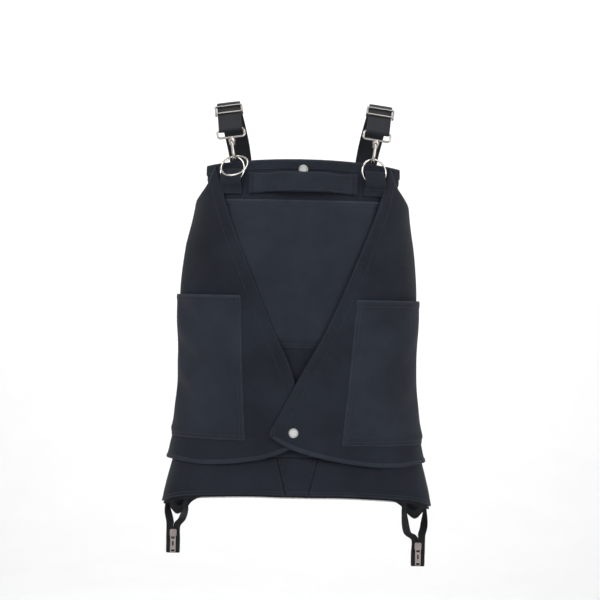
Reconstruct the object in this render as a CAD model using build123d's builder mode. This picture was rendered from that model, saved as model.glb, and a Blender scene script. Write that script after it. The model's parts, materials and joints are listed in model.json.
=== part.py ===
"""Convertible bag vest: a cotton canvas bib worn on two webbing straps, with wrap flaps and pockets.

Frame: millimetres, +Z up, the wearer faces -Y, +X is the right of a person looking at the front.
The origin lies between the two strap crests, at the level where the straps rest on the shoulders.
"""
import os
from functools import lru_cache
from math import cos, pi, radians, sin

from build123d import *

os.makedirs("parts", exist_ok=True)

# ---------------------------------------------------------------- cloth
CLOTH = 1.2                      # canvas thickness
GAP = 0.4                        # room left between parts that move on each other
WEBBING_WIDTH = 38.0
WEBBING_THICKNESS = 1.8

# The worn tube of cloth: level, half width and half depth of its inside face.
BODY_LEVELS = [
    (-60.0, 158.0, 80.0),
    (-110.0, 165.0, 95.0),
    (-180.0, 172.5, 109.0),
    (-250.0, 180.5, 114.0),
    (-340.0, 182.5, 112.0),
    (-440.0, 180.0, 112.0),
    (-510.0, 184.0, 116.0),
    (-560.0, 198.5, 121.5),
    (-640.0, 218.0, 129.0),
    (-700.0, 223.0, 133.0),
]
SQUARENESS = 2.8                 # exponent of the superellipse that each level follows
SECTION_POINTS = 16
SECTION_STEP = 64.0
BODY_TOP = -60.0
BODY_BOTTOM = -700.0
REACH = 240.0                    # past every part of the cloth

# Faces of the cloth layers, as growth of the half width and of the half depth.
BODY_INSIDE = (0.0, 0.0)
BODY_OUTSIDE = (CLOTH, CLOTH)
BAND_OUTSIDE = (2.2, 2.2)
CHEST_POCKET_INSIDE = (2.3, 6.4)
CHEST_POCKET_OUTSIDE = (3.3, 7.4)
LEFT_FLAP_INSIDE = (3.8, 8.0)
LEFT_FLAP_OUTSIDE = (5.0, 9.2)
RIGHT_FLAP_INSIDE = (3.8, 11.8)
RIGHT_FLAP_OUTSIDE = (5.0, 13.0)
BINDING_PROUD = 0.5
FLAP_POCKET_ROOM = (6.2, 7.2)    # inside of a flap pocket, off its flap
FLAP_POCKET_WALL = 1.0

# ---------------------------------------------------------------- front view measures
BIB_HALF_WIDTH = 157.0
BIB_TOP = -93.0
BIB_CORNER_TOP = -104.0
BIB_CORNER_LOW = -130.0
HEM_BAND_HEIGHT = 17.0
SIDE_SEAM = 150.0                # where the bib meets the side panels
WAIST_SEAM = -572.0              # where the bib meets the skirt
ARMHOLE_LOW = -178.0
FRONT_HEM = -632.0
FRONT_HEM_CORNER = -646.0
BACK_HEM_CORNER = -648.0
# Back hem of the right half, from the side to the middle: it dips beside the zip tail.
BACK_HEM_RIGHT = [(215, -660), (203, -673), (186, -675), (156, -662), (118, -655), (0, -652)]
BACK_TOP = -95.0
BACK_HALF_WIDTH = 150.0
SKIRT_CENTRE_TOP = 33.0
SKIRT_CENTRE_LOW = 18.0

CHEST_POCKET_HALF_WIDTH = 125.0
CHEST_POCKET_TOP = -160.0
CHEST_POCKET_LOW = -398.0
POCKET_STITCH = 4.0              # width of a pocket's sewn edge
POCKET_MOUTH = 9.0               # a pocket's room runs this far past its open top

FLAP_PEAK = (142.0, -107.0)
FLAP_INNER_EDGE = [(104, -218), (45, -360)]
FLAP_FOOT = [(72, -578), (150, -586)]
FLAP_FOOT_SIDE = -574.0          # foot of a flap at the side of the body
FLAP_ARMHOLE = [(184, -190), (175, -163), (157, -133)]
FLAP_BACK_EDGE = -4.0            # Y of the seam that joins a flap to the side
RIGHT_TIP = (-42.0, -525.0)
LEFT_TIP = (-12.0, -528.0)       # mirrored: this tip is hidden under the right flap
BINDING_HEIGHT = 9.0

# Flap pockets: X of the inner edge at the top and at the foot, then the Z of both.
RIGHT_POCKET = (90.0, 71.0, -318.0, -552.0)
LEFT_POCKET = (96.0, 85.0, -314.0, -546.0)
POCKET_BACK_EDGE = -18.0

HANDLE_HALF_LENGTH = 87.0
HANDLE_SEWN = 19.0
HANDLE_TOP = -115.0
HANDLE_LOW = -152.0
HANDLE_ROOM = 13.4               # space for the fingers behind the middle of the handle
HANDLE_PAD = 4.4
HANDLE_END_THICKNESS = 3.8
HANDLE_SHOULDER = 46.0           # the handle has its full room inside this X

SNAP_RADIUS = 7.5
SNAP_HEIGHT = 2.6
SNAP_SEAT = 0.2                  # a snap's plates sit this far off the curved cloth
SOCKET_RADIUS = 5.0
SOCKET_DEPTH = 1.3
STUD_RADIUS = 2.0
STUD_HEIGHT = 1.7
TOP_SNAP_Z = -110.0
FLAP_SNAP = (-7.0, -532.0)

# ---------------------------------------------------------------- rings, hooks and straps
RING_X = 113.0
RING_Z = -112.0
RING_WIRE = 3.0
RING_RADIUS = 20.5               # to the middle of the wire
TAB_WIDTH = 35.6
TAB_CLOTH = 1.3
TAB_ROOM = 7.4                   # space between the two legs of a tab
TAB_FOLD = 19.0                  # fold above the middle of the tab
RING_STANDOFF = 2.0 + TAB_CLOTH + TAB_ROOM / 2    # middle of the ring off the bib
TAB_SEWN_LOW = -21.0
TAB_SEWN_TOP = -9.0
STRAP_TILT = 8.0                 # degrees that each strap leans outwards
LOOSE_PITCH = 41.0               # degrees that the second ring of the left hook leans forwards
LOOSE_ROLL = 14.0
LOOSE_TOUCH = 95.0               # degrees round the second ring to the spot that hangs in the hook
LOOSE_RADIUS = 22.0
HOOK_INNER_RADIUS = 6.5
HOOK_WIRE = 4.4
HOOK_LIFT = 4.0                  # middle of the hook's bow above the ring's wire
BOW = HOOK_INNER_RADIUS + HOOK_WIRE / 2
COLLAR = (20.0, 25.0)            # foot and top of the hook's collar, above the middle of the bow
COLLAR_RADIUS = 5.2
STEM_RADIUS = 1.6
HEAD_RADIUS = 2.7
PIVOT = (8.2, 17.4)              # lever's pin, behind and above the middle of the bow
PIN_RADIUS = 1.0
EAR_INSIDE = 1.6
EAR_OUTSIDE = 4.4
LEVER_OUTLINE = [(6.4, 16.6), (10.4, 17.2), (BOW + 3.0, 11.0), (BOW + 1.6, 3.0), (BOW - 1.7, 2.2)]
EAR_OUTLINE = [(3.0, 24.6), (6.5, 24.0), (10.8, 18.0), (9.6, 15.0), (6.8, 15.0), (3.4, 19.4)]
TWO_RING_SHIFT = 1.95            # each of two rings in one hook sits this far off its middle
EYE_WIDTH = 47.0
EYE_HEIGHT = 15.8
EYE_WIRE = 3.5
EYE_TOP_BAR = 39.8               # above the middle of the hook's bow
PLY_RADIUS = EYE_WIRE / 2 + GAP + WEBBING_THICKNESS / 2    # webbing round the eye's top bar
STRAP_SLOPE = 50.0               # degrees from upright, front of the strap
STRAP_STRAIGHT = 62.0
SHOULDER_RADIUS = 37.0
BACK_RADIUS = 82.0
BACK_DROP = 74.0                 # degrees that the strap turns down behind the shoulder
STRAP_BACK_RUN = 32.0
INNER_PLY = 12.0
ADJUSTER_WIDTH = 46.0
ADJUSTER_HEIGHT = 22.0
ADJUSTER_WIRE = 3.0
ADJUSTER_PLACE = 50.0            # along the strap from the eye's bar
OUTER_FACE = PLY_RADIUS + WEBBING_THICKNESS / 2
MIDDLE_BAR_LIFT = PLY_RADIUS - WEBBING_THICKNESS / 2 - GAP - 1.3 - ADJUSTER_WIRE / 2
BACK_TAB_X = 105.0
BACK_TAB_LOW = -140.0
BACK_TAB_THICKNESS = 2.0

# ---------------------------------------------------------------- hem zips
ZIP_X = 200.5
ZIP_Y = -45.0
ZIP_SLIDER_Z = {"left": -705.0, "right": -719.0}
TAPE_WIDTH = 10.4
TAPE_THICKNESS = 1.0
TAPE_SPLIT = 1.6                 # gap between the two tapes
TAPE_SEAM = 0.6                  # the tapes lie this far inside the hems
SLIDER_SIZE = (11.0, 12.0, 1.5)  # width, height and thickness of each plate
END_BOX = (22.0, 24.0, 4.0)
PULL_WIDTH = 9.0
PULL_LENGTH = 32.0
PULL_THICKNESS = 1.4


# ================================================================ the shape of the worn tube
def half_size(z):
    """Half width and half depth of the tube's inside face at level z, eased through the levels."""
    levels = BODY_LEVELS
    i = 0
    while i < len(levels) - 2 and z < levels[i + 1][0]:
        i += 1
    before = levels[max(i - 1, 0)]
    low, high = levels[i], levels[i + 1]
    after = levels[min(i + 2, len(levels) - 1)]
    span = high[0] - low[0]
    t = (z - low[0]) / span
    sizes = []
    for k in (1, 2):
        start = (high[k] - before[k]) / (high[0] - before[0]) * span
        end = (after[k] - low[k]) / (after[0] - low[0]) * span
        rise = 3 * t**2 - 2 * t**3
        value = low[k] + (high[k] - low[k]) * rise
        value += start * (t**3 - 2 * t**2 + t) + end * (t**3 - t**2)
        sizes.append(value)
    return sizes


def rim_point(angle, z, grow):
    """Point of the grown superellipse at level z, in the direction of the angle."""
    half_width, half_depth = half_size(z)
    reach = (abs(cos(angle)) ** SQUARENESS + abs(sin(angle)) ** SQUARENESS) ** (-1 / SQUARENESS)
    x = (half_width + grow[0]) * reach * cos(angle)
    y = (half_depth + grow[1]) * reach * sin(angle)
    return (x, y)


def face_y(x, z, grow):
    """Distance of the grown face from the middle plane, at a front view position."""
    half_width, half_depth = half_size(z)
    share = min(abs(x) / (half_width + grow[0]), 1.0)
    return (half_depth + grow[1]) * (1 - share**SQUARENESS) ** (1 / SQUARENESS)


def face_plane(x, z, grow, side=-1):
    """Plane lying on the grown face: local x level, local y up the cloth, local z outwards."""
    step = 0.5
    here = Vector(x, side * face_y(x, z, grow), z)
    across = Vector(2 * step, side * (face_y(x + step, z, grow) - face_y(x - step, z, grow)), 0)
    along = Vector(0, side * (face_y(x, z + step, grow) - face_y(x, z - step, grow)), 2 * step)
    outwards = across.cross(along) if side < 0 else along.cross(across)
    level = across if side < 0 else across * -1
    return Plane(origin=here, x_dir=level, z_dir=outwards)


@lru_cache(maxsize=None)
def body_solid(grow):
    """Everything inside the grown face, from the top to the foot of the tube."""
    count = round((BODY_TOP - BODY_BOTTOM) / SECTION_STEP)
    with BuildPart() as solid:
        for i in range(count + 1):
            z = BODY_TOP - i * SECTION_STEP
            angles = [2 * pi * k / SECTION_POINTS for k in range(SECTION_POINTS)]
            with BuildSketch(Plane.XY.offset(z)):
                with BuildLine():
                    Spline(*[rim_point(angle, z, grow) for angle in angles], periodic=True)
                make_face()
        loft()
    return solid.part


@lru_cache(maxsize=None)
def layer(inside, outside):
    """Shell between two grown faces."""
    with BuildPart() as shell:
        add(body_solid(outside))
        add(body_solid(inside), mode=Mode.SUBTRACT)
    return shell.part


def prism(outline, near=0.0, far=-REACH):
    """Front view outline drawn out along Y, from near to far."""
    with BuildPart() as block:
        with BuildSketch(Plane.XZ.offset(-near)):
            add(outline)
        extrude(amount=near - far)
    return block.part


def rectangle(left, right, low, high):
    """Rectangle in the front view."""
    with BuildSketch() as sketch:
        with Locations(((left + right) / 2, (low + high) / 2)):
            Rectangle(right - left, high - low)
    return sketch.sketch


def cut_layer(inside, outside, *prisms):
    """The part of a cloth layer that lies in every prism."""
    with BuildPart() as piece:
        add(layer(inside, outside))
        for block in prisms:
            add(block, mode=Mode.INTERSECT)
    return piece.part


def write(node, part):
    """Label one finished piece and write its STEP file."""
    part.label = node
    export_step(part, f"parts/{node}.step")


def write_pair(name, right_part):
    """Write a piece of the right side and its mirror image."""
    write(f"{name}_right", right_part)
    with BuildPart() as left:
        mirror(right_part, about=Plane.YZ)
    write(f"{name}_left", left.part)


# ================================================================ outlines in the front view
def bib_outline():
    """Bib with its bowed top edge, down to the waist seam."""
    corner = (BIB_HALF_WIDTH, BIB_CORNER_TOP)
    with BuildSketch() as sketch:
        with BuildLine():
            ThreePointArc((-corner[0], corner[1]), (0, BIB_TOP), corner)
            Polyline(
                corner,
                (BIB_HALF_WIDTH, BIB_CORNER_LOW),
                (SIDE_SEAM, BIB_CORNER_LOW - 12),
                (SIDE_SEAM, WAIST_SEAM),
                (-SIDE_SEAM, WAIST_SEAM),
                (-SIDE_SEAM, BIB_CORNER_LOW - 12),
                (-BIB_HALF_WIDTH, BIB_CORNER_LOW),
                (-corner[0], corner[1]),
            )
        make_face()
    return sketch.sketch


def band_outline(half_width, middle, corner, height):
    """Bowed band along a top edge."""
    with BuildSketch() as sketch:
        with BuildLine():
            ThreePointArc((-half_width, corner), (0, middle), (half_width, corner))
            Line((half_width, corner), (half_width, corner - height))
            ThreePointArc((half_width, corner - height), (0, middle - height), (-half_width, corner - height))
            Line((-half_width, corner - height), (-half_width, corner))
        make_face()
    return sketch.sketch


def side_outline():
    """Right side panel in front of the side seam, under the armhole."""
    with BuildSketch() as sketch:
        with BuildLine():
            Spline((SIDE_SEAM, BIB_CORNER_LOW - 12), (166, -154), (176, ARMHOLE_LOW))
            Polyline(
                (176, ARMHOLE_LOW),
                (REACH, ARMHOLE_LOW),
                (REACH, WAIST_SEAM),
                (SIDE_SEAM, WAIST_SEAM),
                (SIDE_SEAM, BIB_CORNER_LOW - 12),
            )
        make_face()
    return sketch.sketch


def skirt_outline():
    """Right half of the skirt, from the centre panel's seam to the side."""
    with BuildSketch() as sketch:
        with BuildLine():
            Polyline(
                (SKIRT_CENTRE_LOW, FRONT_HEM),
                (SKIRT_CENTRE_TOP, WAIST_SEAM),
                (REACH, WAIST_SEAM),
                (REACH, FRONT_HEM_CORNER - 2),
            )
            Spline(
                (REACH, FRONT_HEM_CORNER - 2),
                (165, FRONT_HEM - 6),
                (87, FRONT_HEM),
                (SKIRT_CENTRE_LOW, FRONT_HEM),
            )
        make_face()
    return sketch.sketch


def skirt_centre_outline():
    """Centre panel of the skirt, narrower at the hem."""
    with BuildSketch() as sketch:
        with BuildLine():
            Polyline(
                (-SKIRT_CENTRE_TOP, WAIST_SEAM),
                (SKIRT_CENTRE_TOP, WAIST_SEAM),
                (SKIRT_CENTRE_LOW, FRONT_HEM),
                (-SKIRT_CENTRE_LOW, FRONT_HEM),
                close=True,
            )
        make_face()
    return sketch.sketch


def back_hem_points(rise):
    """Points of the back hem on the right half, from the side to the middle, raised by the given amount."""
    return [(x, z + rise) for x, z in [(REACH, BACK_HEM_CORNER), *BACK_HEM_RIGHT]]


def back_outline():
    """Back panel, with an armhole on each side and a hem that dips beside the zip tails."""
    corner = (BACK_HALF_WIDTH, BACK_TOP - 9)
    with BuildSketch() as sketch:
        with BuildLine() as right_half:
            Line(corner, (BACK_HALF_WIDTH, BIB_CORNER_LOW))
            Spline((BACK_HALF_WIDTH, BIB_CORNER_LOW), (164, -152), (178, ARMHOLE_LOW))
            Polyline((178, ARMHOLE_LOW), (REACH, ARMHOLE_LOW), (REACH, BACK_HEM_CORNER))
            Spline(*back_hem_points(0.0))
            mirror(right_half.line, about=Plane.YZ)
            ThreePointArc((-corner[0], corner[1]), (0, BACK_TOP), corner)
        make_face()
    return sketch.sketch


def flap_outline(tip, crossing):
    """Right hand wrap flap: peak, long inner edge, rounded tip, bowed foot and armhole edge."""
    low_tip = (tip[0] + 5, tip[1] - 19)
    share = (REACH - low_tip[0]) / REACH
    with BuildSketch() as sketch:
        with BuildLine():
            Spline(FLAP_PEAK, *FLAP_INNER_EDGE, crossing, tip)
            ThreePointArc(tip, (tip[0] - 3, tip[1] - 11), low_tip)
            Spline(low_tip, (low_tip[0] + 34 * share, low_tip[1] - 18), *FLAP_FOOT, (REACH, FLAP_FOOT_SIDE))
            Polyline((REACH, FLAP_FOOT_SIDE), (REACH, FLAP_ARMHOLE[0][1] - 6), FLAP_ARMHOLE[0])
            Spline(*FLAP_ARMHOLE, FLAP_PEAK)
        make_face()
    return sketch.sketch


def flap_pocket_outline(pocket, inset=0.0, above=0.0):
    """Right hand flap pocket, with its sewn sides and foot left out when inset."""
    top_x, low_x, top, low = pocket
    with BuildSketch() as sketch:
        with BuildLine():
            Polyline(
                (top_x + inset, top + above),
                (REACH, top + above),
                (REACH, low + inset),
                (low_x + inset, low + inset),
                close=True,
            )
        make_face()
    return sketch.sketch


# ================================================================ the cloth tube
write("bib_panel", cut_layer(BODY_INSIDE, BODY_OUTSIDE, prism(bib_outline())))
for name, outline in (("side_panel", side_outline()), ("skirt_side", skirt_outline())):
    write(f"{name}_right", cut_layer(BODY_INSIDE, BODY_OUTSIDE, prism(outline)))
    write(f"{name}_left", cut_layer(BODY_INSIDE, BODY_OUTSIDE, prism(mirror(outline, about=Plane.YZ))))
write("skirt_centre_panel", cut_layer(BODY_INSIDE, BODY_OUTSIDE, prism(skirt_centre_outline())))
write("back_panel", cut_layer(BODY_INSIDE, BODY_OUTSIDE, prism(back_outline(), REACH, 0.0)))

front_band = band_outline(BIB_HALF_WIDTH, BIB_TOP, BIB_CORNER_TOP, HEM_BAND_HEIGHT)
write("front_hem_band", cut_layer(BODY_OUTSIDE, BAND_OUTSIDE, prism(front_band)))
back_band = band_outline(BACK_HALF_WIDTH, BACK_TOP, BACK_TOP - 9, HEM_BAND_HEIGHT)
write("back_hem_band", cut_layer(BODY_OUTSIDE, BAND_OUTSIDE, prism(back_band, REACH, 0.0)))


# ================================================================ pockets and handle
def chest_pocket():
    """Pouch on the bib, sewn at its sides and foot and open at the top."""
    edge = CHEST_POCKET_HALF_WIDTH
    room_edge = edge - POCKET_STITCH
    room_foot = CHEST_POCKET_LOW + POCKET_STITCH
    outline = rectangle(-edge, edge, CHEST_POCKET_LOW, CHEST_POCKET_TOP)
    room = rectangle(-room_edge, room_edge, room_foot, CHEST_POCKET_TOP + POCKET_MOUTH)
    with BuildPart() as pocket:
        add(cut_layer(BODY_OUTSIDE, CHEST_POCKET_OUTSIDE, prism(outline)))
        add(cut_layer(BODY_OUTSIDE, CHEST_POCKET_INSIDE, prism(room)), mode=Mode.SUBTRACT)
    return pocket.part


def carry_handle():
    """Padded grip that arches off the bib between its two sewn ends."""
    middle = (HANDLE_TOP + HANDLE_LOW) / 2
    cloth = face_plane(0, middle, BODY_OUTSIDE)
    section = Plane(origin=cloth.origin, x_dir=cloth.x_dir, z_dir=cloth.y_dir * -1)
    end = HANDLE_HALF_LENGTH
    seam = end - HANDLE_SEWN

    def on_cloth(x, height):
        fall = face_y(0, middle, BODY_OUTSIDE) - face_y(abs(x), middle, BODY_OUTSIDE)
        return (x, height - fall)

    outer = [on_cloth(end, HANDLE_END_THICKNESS), on_cloth(seam + 1, HANDLE_END_THICKNESS + 0.8)]
    outer += [on_cloth(HANDLE_SHOULDER, HANDLE_ROOM + HANDLE_PAD), on_cloth(0, HANDLE_ROOM + HANDLE_PAD)]
    inner = [on_cloth(seam, 0.4), on_cloth(HANDLE_SHOULDER - 2, HANDLE_ROOM), on_cloth(0, HANDLE_ROOM)]
    full_outer = outer + [(-x, height) for x, height in outer[-2::-1]]
    full_inner = inner + [(-x, height) for x, height in inner[-2::-1]]
    with BuildPart() as handle:
        with BuildSketch(section):
            with BuildLine():
                Spline(*full_outer)
                Polyline(full_outer[-1], on_cloth(-end, 0.4), full_inner[-1])
                Spline(*full_inner)
                Polyline(full_inner[0], on_cloth(end, 0.4), full_outer[0])
            make_face()
        extrude(amount=(HANDLE_TOP - HANDLE_LOW) / 2, both=True)
        fillet(handle.edges().filter_by(GeomType.BSPLINE).group_by(SortBy.LENGTH)[-1], 1.2)
    return handle.part


def flap_pocket(pocket, flap_outside):
    """Patch pocket of the right side, standing off its flap, open at the top."""
    room_face = (flap_outside[0] + FLAP_POCKET_ROOM[0], flap_outside[1] + FLAP_POCKET_ROOM[1])
    wall_face = (room_face[0] + FLAP_POCKET_WALL, room_face[1] + FLAP_POCKET_WALL)
    outline = prism(flap_pocket_outline(pocket), POCKET_BACK_EDGE)
    room = prism(flap_pocket_outline(pocket, POCKET_STITCH, POCKET_MOUTH), POCKET_BACK_EDGE - POCKET_STITCH)
    with BuildPart() as pouch:
        add(cut_layer(flap_outside, wall_face, outline))
        add(cut_layer(flap_outside, room_face, room), mode=Mode.SUBTRACT)
    return pouch.part


write("chest_pocket", chest_pocket())
write("carry_handle", carry_handle())


# ================================================================ wrap flaps
def flap_pieces(tip, crossing, inside, outside):
    """Flap and the binding folded over its foot, for the right side."""
    outline = flap_outline(tip, crossing)
    raised = Pos(0, BINDING_HEIGHT) * outline
    proud_inside = (inside[0] - BINDING_PROUD, inside[1] - BINDING_PROUD)
    proud_outside = (outside[0] + BINDING_PROUD, outside[1] + BINDING_PROUD)
    cloth = cut_layer(inside, outside, prism(outline, FLAP_BACK_EDGE), prism(raised, FLAP_BACK_EDGE))
    with BuildPart() as binding:
        add(cut_layer(proud_inside, proud_outside, prism(outline, FLAP_BACK_EDGE)))
        add(prism(raised, 0.0), mode=Mode.SUBTRACT)
    return cloth, binding.part


def write_left(node, right_part):
    """Write the mirror image of a piece made for the right side."""
    with BuildPart() as left:
        mirror(right_part, about=Plane.YZ)
    write(node, left.part)


def flap_snap_plane(grow):
    """Plane of the snap that closes the flaps, on the given face."""
    return face_plane(FLAP_SNAP[0], FLAP_SNAP[1], grow)


def snap_cap(plane, thickness):
    """Domed cap on top of the cloth, a post through it and a ring socket behind."""
    with BuildPart() as cap:
        with BuildSketch(plane):
            Circle(SNAP_RADIUS)
        extrude(amount=1.2)
        with BuildSketch(plane.offset(1.2)):
            Circle(SNAP_RADIUS - 0.6)
        extrude(amount=SNAP_HEIGHT - 1.2, taper=40)
        if thickness:
            with BuildSketch(plane.offset(-thickness - SOCKET_DEPTH)):
                Circle(SOCKET_RADIUS)
                Circle(STUD_RADIUS + 0.6, mode=Mode.SUBTRACT)
            extrude(amount=SOCKET_DEPTH)
    return cap.part


def snap_stud(plane, height):
    """Flat base plate with the stud that presses into the socket."""
    with BuildPart() as stud:
        with BuildSketch(plane):
            Circle(SOCKET_RADIUS)
        extrude(amount=0.6)
        with BuildSketch(plane.offset(0.6)):
            Circle(STUD_RADIUS)
        extrude(amount=height - 0.6)
    return stud.part


right_flap, right_binding = flap_pieces(RIGHT_TIP, (-5.0, -454.0), RIGHT_FLAP_INSIDE, RIGHT_FLAP_OUTSIDE)
left_flap, left_binding = flap_pieces(LEFT_TIP, (5.0, -436.0), LEFT_FLAP_INSIDE, LEFT_FLAP_OUTSIDE)
write("flap_right", right_flap)
write("flap_binding_right", right_binding)
write_left("flap_left", left_flap)
write_left("flap_binding_left", left_binding)
write("flap_pocket_right", flap_pocket(RIGHT_POCKET, RIGHT_FLAP_OUTSIDE))
write_left("flap_pocket_left", flap_pocket(LEFT_POCKET, LEFT_FLAP_OUTSIDE))

cap_plane = flap_snap_plane(RIGHT_FLAP_OUTSIDE).offset(SNAP_SEAT)
stud_plane = flap_snap_plane(LEFT_FLAP_OUTSIDE).offset(SNAP_SEAT)
top_plane = face_plane(0, TOP_SNAP_Z, BAND_OUTSIDE).offset(SNAP_SEAT)
back_plane = face_plane(0, TOP_SNAP_Z, BAND_OUTSIDE, side=1).offset(SNAP_SEAT)
write("flap_snap_cap", snap_cap(cap_plane, CLOTH + 2 * SNAP_SEAT))
write("flap_snap_stud", snap_stud(stud_plane, STUD_HEIGHT - 0.4))
write("top_snap_cap", snap_cap(top_plane, 0))
write("top_snap_stud", snap_stud(back_plane, STUD_HEIGHT))


# ================================================================ ring tabs and rings
tab_plane = face_plane(RING_X, RING_Z - TAB_FOLD, BODY_OUTSIDE)
tab_out = tab_plane.z_dir
tab_up = tab_plane.y_dir
ring_centre = tab_plane.origin + tab_up * TAB_FOLD + tab_out * RING_STANDOFF
ring_top = ring_centre + tab_up * RING_RADIUS


def ring_tab():
    """Loop of doubled cloth sewn to the bib, open round the lower half of the ring."""
    back = RING_STANDOFF - TAB_ROOM / 2
    front = RING_STANDOFF + TAB_ROOM / 2
    fold = TAB_FOLD - TAB_ROOM / 2 - TAB_CLOTH
    middle = (back + front) / 2
    side_plane = Plane(origin=tab_plane.origin, x_dir=tab_up, z_dir=tab_plane.x_dir)
    foot = 0.3
    with BuildPart() as tab:
        with BuildSketch(side_plane):
            with BuildLine():
                Polyline(
                    (fold, back - TAB_CLOTH),
                    (TAB_SEWN_TOP, foot),
                    (TAB_SEWN_LOW, foot),
                    (TAB_SEWN_LOW, foot + 2.8),
                    (TAB_SEWN_TOP, foot + 2.8),
                    (TAB_SEWN_TOP + 6, front + TAB_CLOTH),
                    (fold, front + TAB_CLOTH),
                )
                ThreePointArc((fold, front + TAB_CLOTH), (TAB_FOLD, middle), (fold, back - TAB_CLOTH))
            make_face()
            with BuildLine():
                Polyline(
                    (fold, back),
                    (TAB_SEWN_TOP + 2, foot + TAB_CLOTH),
                    (TAB_SEWN_TOP + 7, front),
                    (fold, front),
                )
                ThreePointArc((fold, front), (TAB_FOLD - TAB_CLOTH, middle), (fold, back))
            make_face(mode=Mode.SUBTRACT)
        extrude(amount=TAB_WIDTH / 2, both=True)
    return tab.part


def wire_ring(plane, radius, wire):
    """Round wire ring in a plane."""
    start = Plane(origin=plane.origin + plane.x_dir * radius, x_dir=plane.x_dir, z_dir=plane.y_dir)
    with BuildPart() as ring:
        with BuildSketch(start):
            Circle(wire / 2)
        revolve(axis=Axis(plane.origin, plane.z_dir))
    return ring.part


ring_plane = Plane(origin=ring_centre, x_dir=tab_plane.x_dir, z_dir=tab_out)
hook_side = {"right": 0.0, "left": TWO_RING_SHIFT}
write_pair("ring_tab", ring_tab())
write_pair("tab_ring", wire_ring(ring_plane, RING_RADIUS, RING_WIRE))

# ================================================================ hook, eye and strap, in a tilted plane
tilt = radians(STRAP_TILT)
strap_up = Vector(sin(tilt), 0, cos(tilt))
strap_across = Vector(cos(tilt), 0, -sin(tilt))


def chain_plane(shift_y=0.0, up=0.0):
    """Plane seen from the side: local x backwards, local y up the hook, from the ring's top."""
    return Plane(origin=ring_top + Vector(0, shift_y, 0) + strap_up * up, x_dir=(0, 1, 0), z_dir=strap_across)


def level_plane(origin_plane, height):
    """Plane square to the hook's length, at a height above the given plane's origin."""
    return Plane(origin=origin_plane.origin + strap_up * height, x_dir=strap_across, z_dir=strap_up)


def hook_body(bow_plane):
    """Round hook with a collar for the swivel and two ears for the lever."""
    with BuildPart() as hook:
        with BuildLine(bow_plane) as path:
            FilletPolyline((-3.0, 22.6), (-BOW, 18.0), (-BOW, 0.0), radius=3.0)
            ThreePointArc((-BOW, 0.0), (0.0, -BOW), (BOW, 0.0))
            Line((BOW, 0.0), (BOW, 1.6))
        with BuildSketch(Plane(origin=path.line @ 0, z_dir=path.line % 0)):
            Circle(HOOK_WIRE / 2)
        sweep(path=path.line, transition=Transition.ROUND)
        with BuildSketch(level_plane(bow_plane, COLLAR[0])):
            Circle(COLLAR_RADIUS)
        extrude(amount=COLLAR[1] - COLLAR[0])
        for side in (1, -1):
            with BuildSketch(bow_plane.offset(side * EAR_INSIDE)):
                with BuildLine():
                    Polyline(*EAR_OUTLINE, close=True)
                make_face()
                with Locations(PIVOT):
                    Circle(PIN_RADIUS, mode=Mode.SUBTRACT)
            extrude(amount=side * (EAR_OUTSIDE - EAR_INSIDE))
        with BuildSketch(level_plane(bow_plane, COLLAR[0] - 4)):
            Circle(STEM_RADIUS + 0.3)
        extrude(amount=12, mode=Mode.SUBTRACT)
        with BuildSketch(level_plane(bow_plane, COLLAR[0] - 3.0)):
            Circle(HEAD_RADIUS + 0.3)
        extrude(amount=3.0, mode=Mode.SUBTRACT)
    return hook.part


def hook_lever(bow_plane):
    """Sprung lever that closes the hook, with a thumb pad."""
    with BuildPart() as lever:
        with BuildSketch(bow_plane.offset(-1.3)):
            with Locations(PIVOT):
                Circle(2.3)
            with BuildLine():
                Polyline(*LEVER_OUTLINE, close=True)
            make_face()
            with Locations(PIVOT):
                Circle(PIN_RADIUS + 0.15, mode=Mode.SUBTRACT)
        extrude(amount=1.8)
    return lever.part


def lever_pin(bow_plane):
    """Pin of the lever, through both ears."""
    with BuildPart() as pin:
        with BuildSketch(bow_plane.offset(-EAR_OUTSIDE)):
            with Locations(PIVOT):
                Circle(PIN_RADIUS)
        extrude(amount=2 * EAR_OUTSIDE)
    return pin.part


def lever_spring(bow_plane):
    """Coil of the lever's spring, beside the lever on the pin."""
    with BuildPart() as spring:
        with BuildSketch(bow_plane.offset(0.7)):
            with Locations(PIVOT):
                Circle(2.0)
                Circle(PIN_RADIUS + 0.1, mode=Mode.SUBTRACT)
        extrude(amount=0.7)
    return spring.part


def swivel_eye(bow_plane):
    """Oval eye for the webbing, with the swivel's stem and head."""
    middle = EYE_TOP_BAR - (EYE_HEIGHT - EYE_WIRE) / 2
    oval_plane = Plane(origin=bow_plane.origin + strap_up * middle, x_dir=strap_across, z_dir=(0, -1, 0))
    with BuildPart() as eye:
        with BuildSketch(oval_plane.offset(-EYE_WIRE / 2)):
            RectangleRounded(EYE_WIDTH, EYE_HEIGHT, 6.0)
            RectangleRounded(EYE_WIDTH - 2 * EYE_WIRE, EYE_HEIGHT - 2 * EYE_WIRE, 2.0, mode=Mode.SUBTRACT)
        extrude(amount=EYE_WIRE)
        fillet(eye.edges(), EYE_WIRE / 2 - 0.2)
        with BuildSketch(level_plane(bow_plane, COLLAR[0] - 1.0)):
            Circle(STEM_RADIUS)
        extrude(amount=middle - EYE_HEIGHT / 2 + 1.0 - COLLAR[0] + 1.0)
        with BuildSketch(level_plane(bow_plane, COLLAR[1] + 0.3)):
            Circle(3.0)
        extrude(amount=2.6)
        with BuildSketch(level_plane(bow_plane, COLLAR[0] - 2.6)):
            Circle(HEAD_RADIUS)
        extrude(amount=2.3)
    return eye.part


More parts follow.
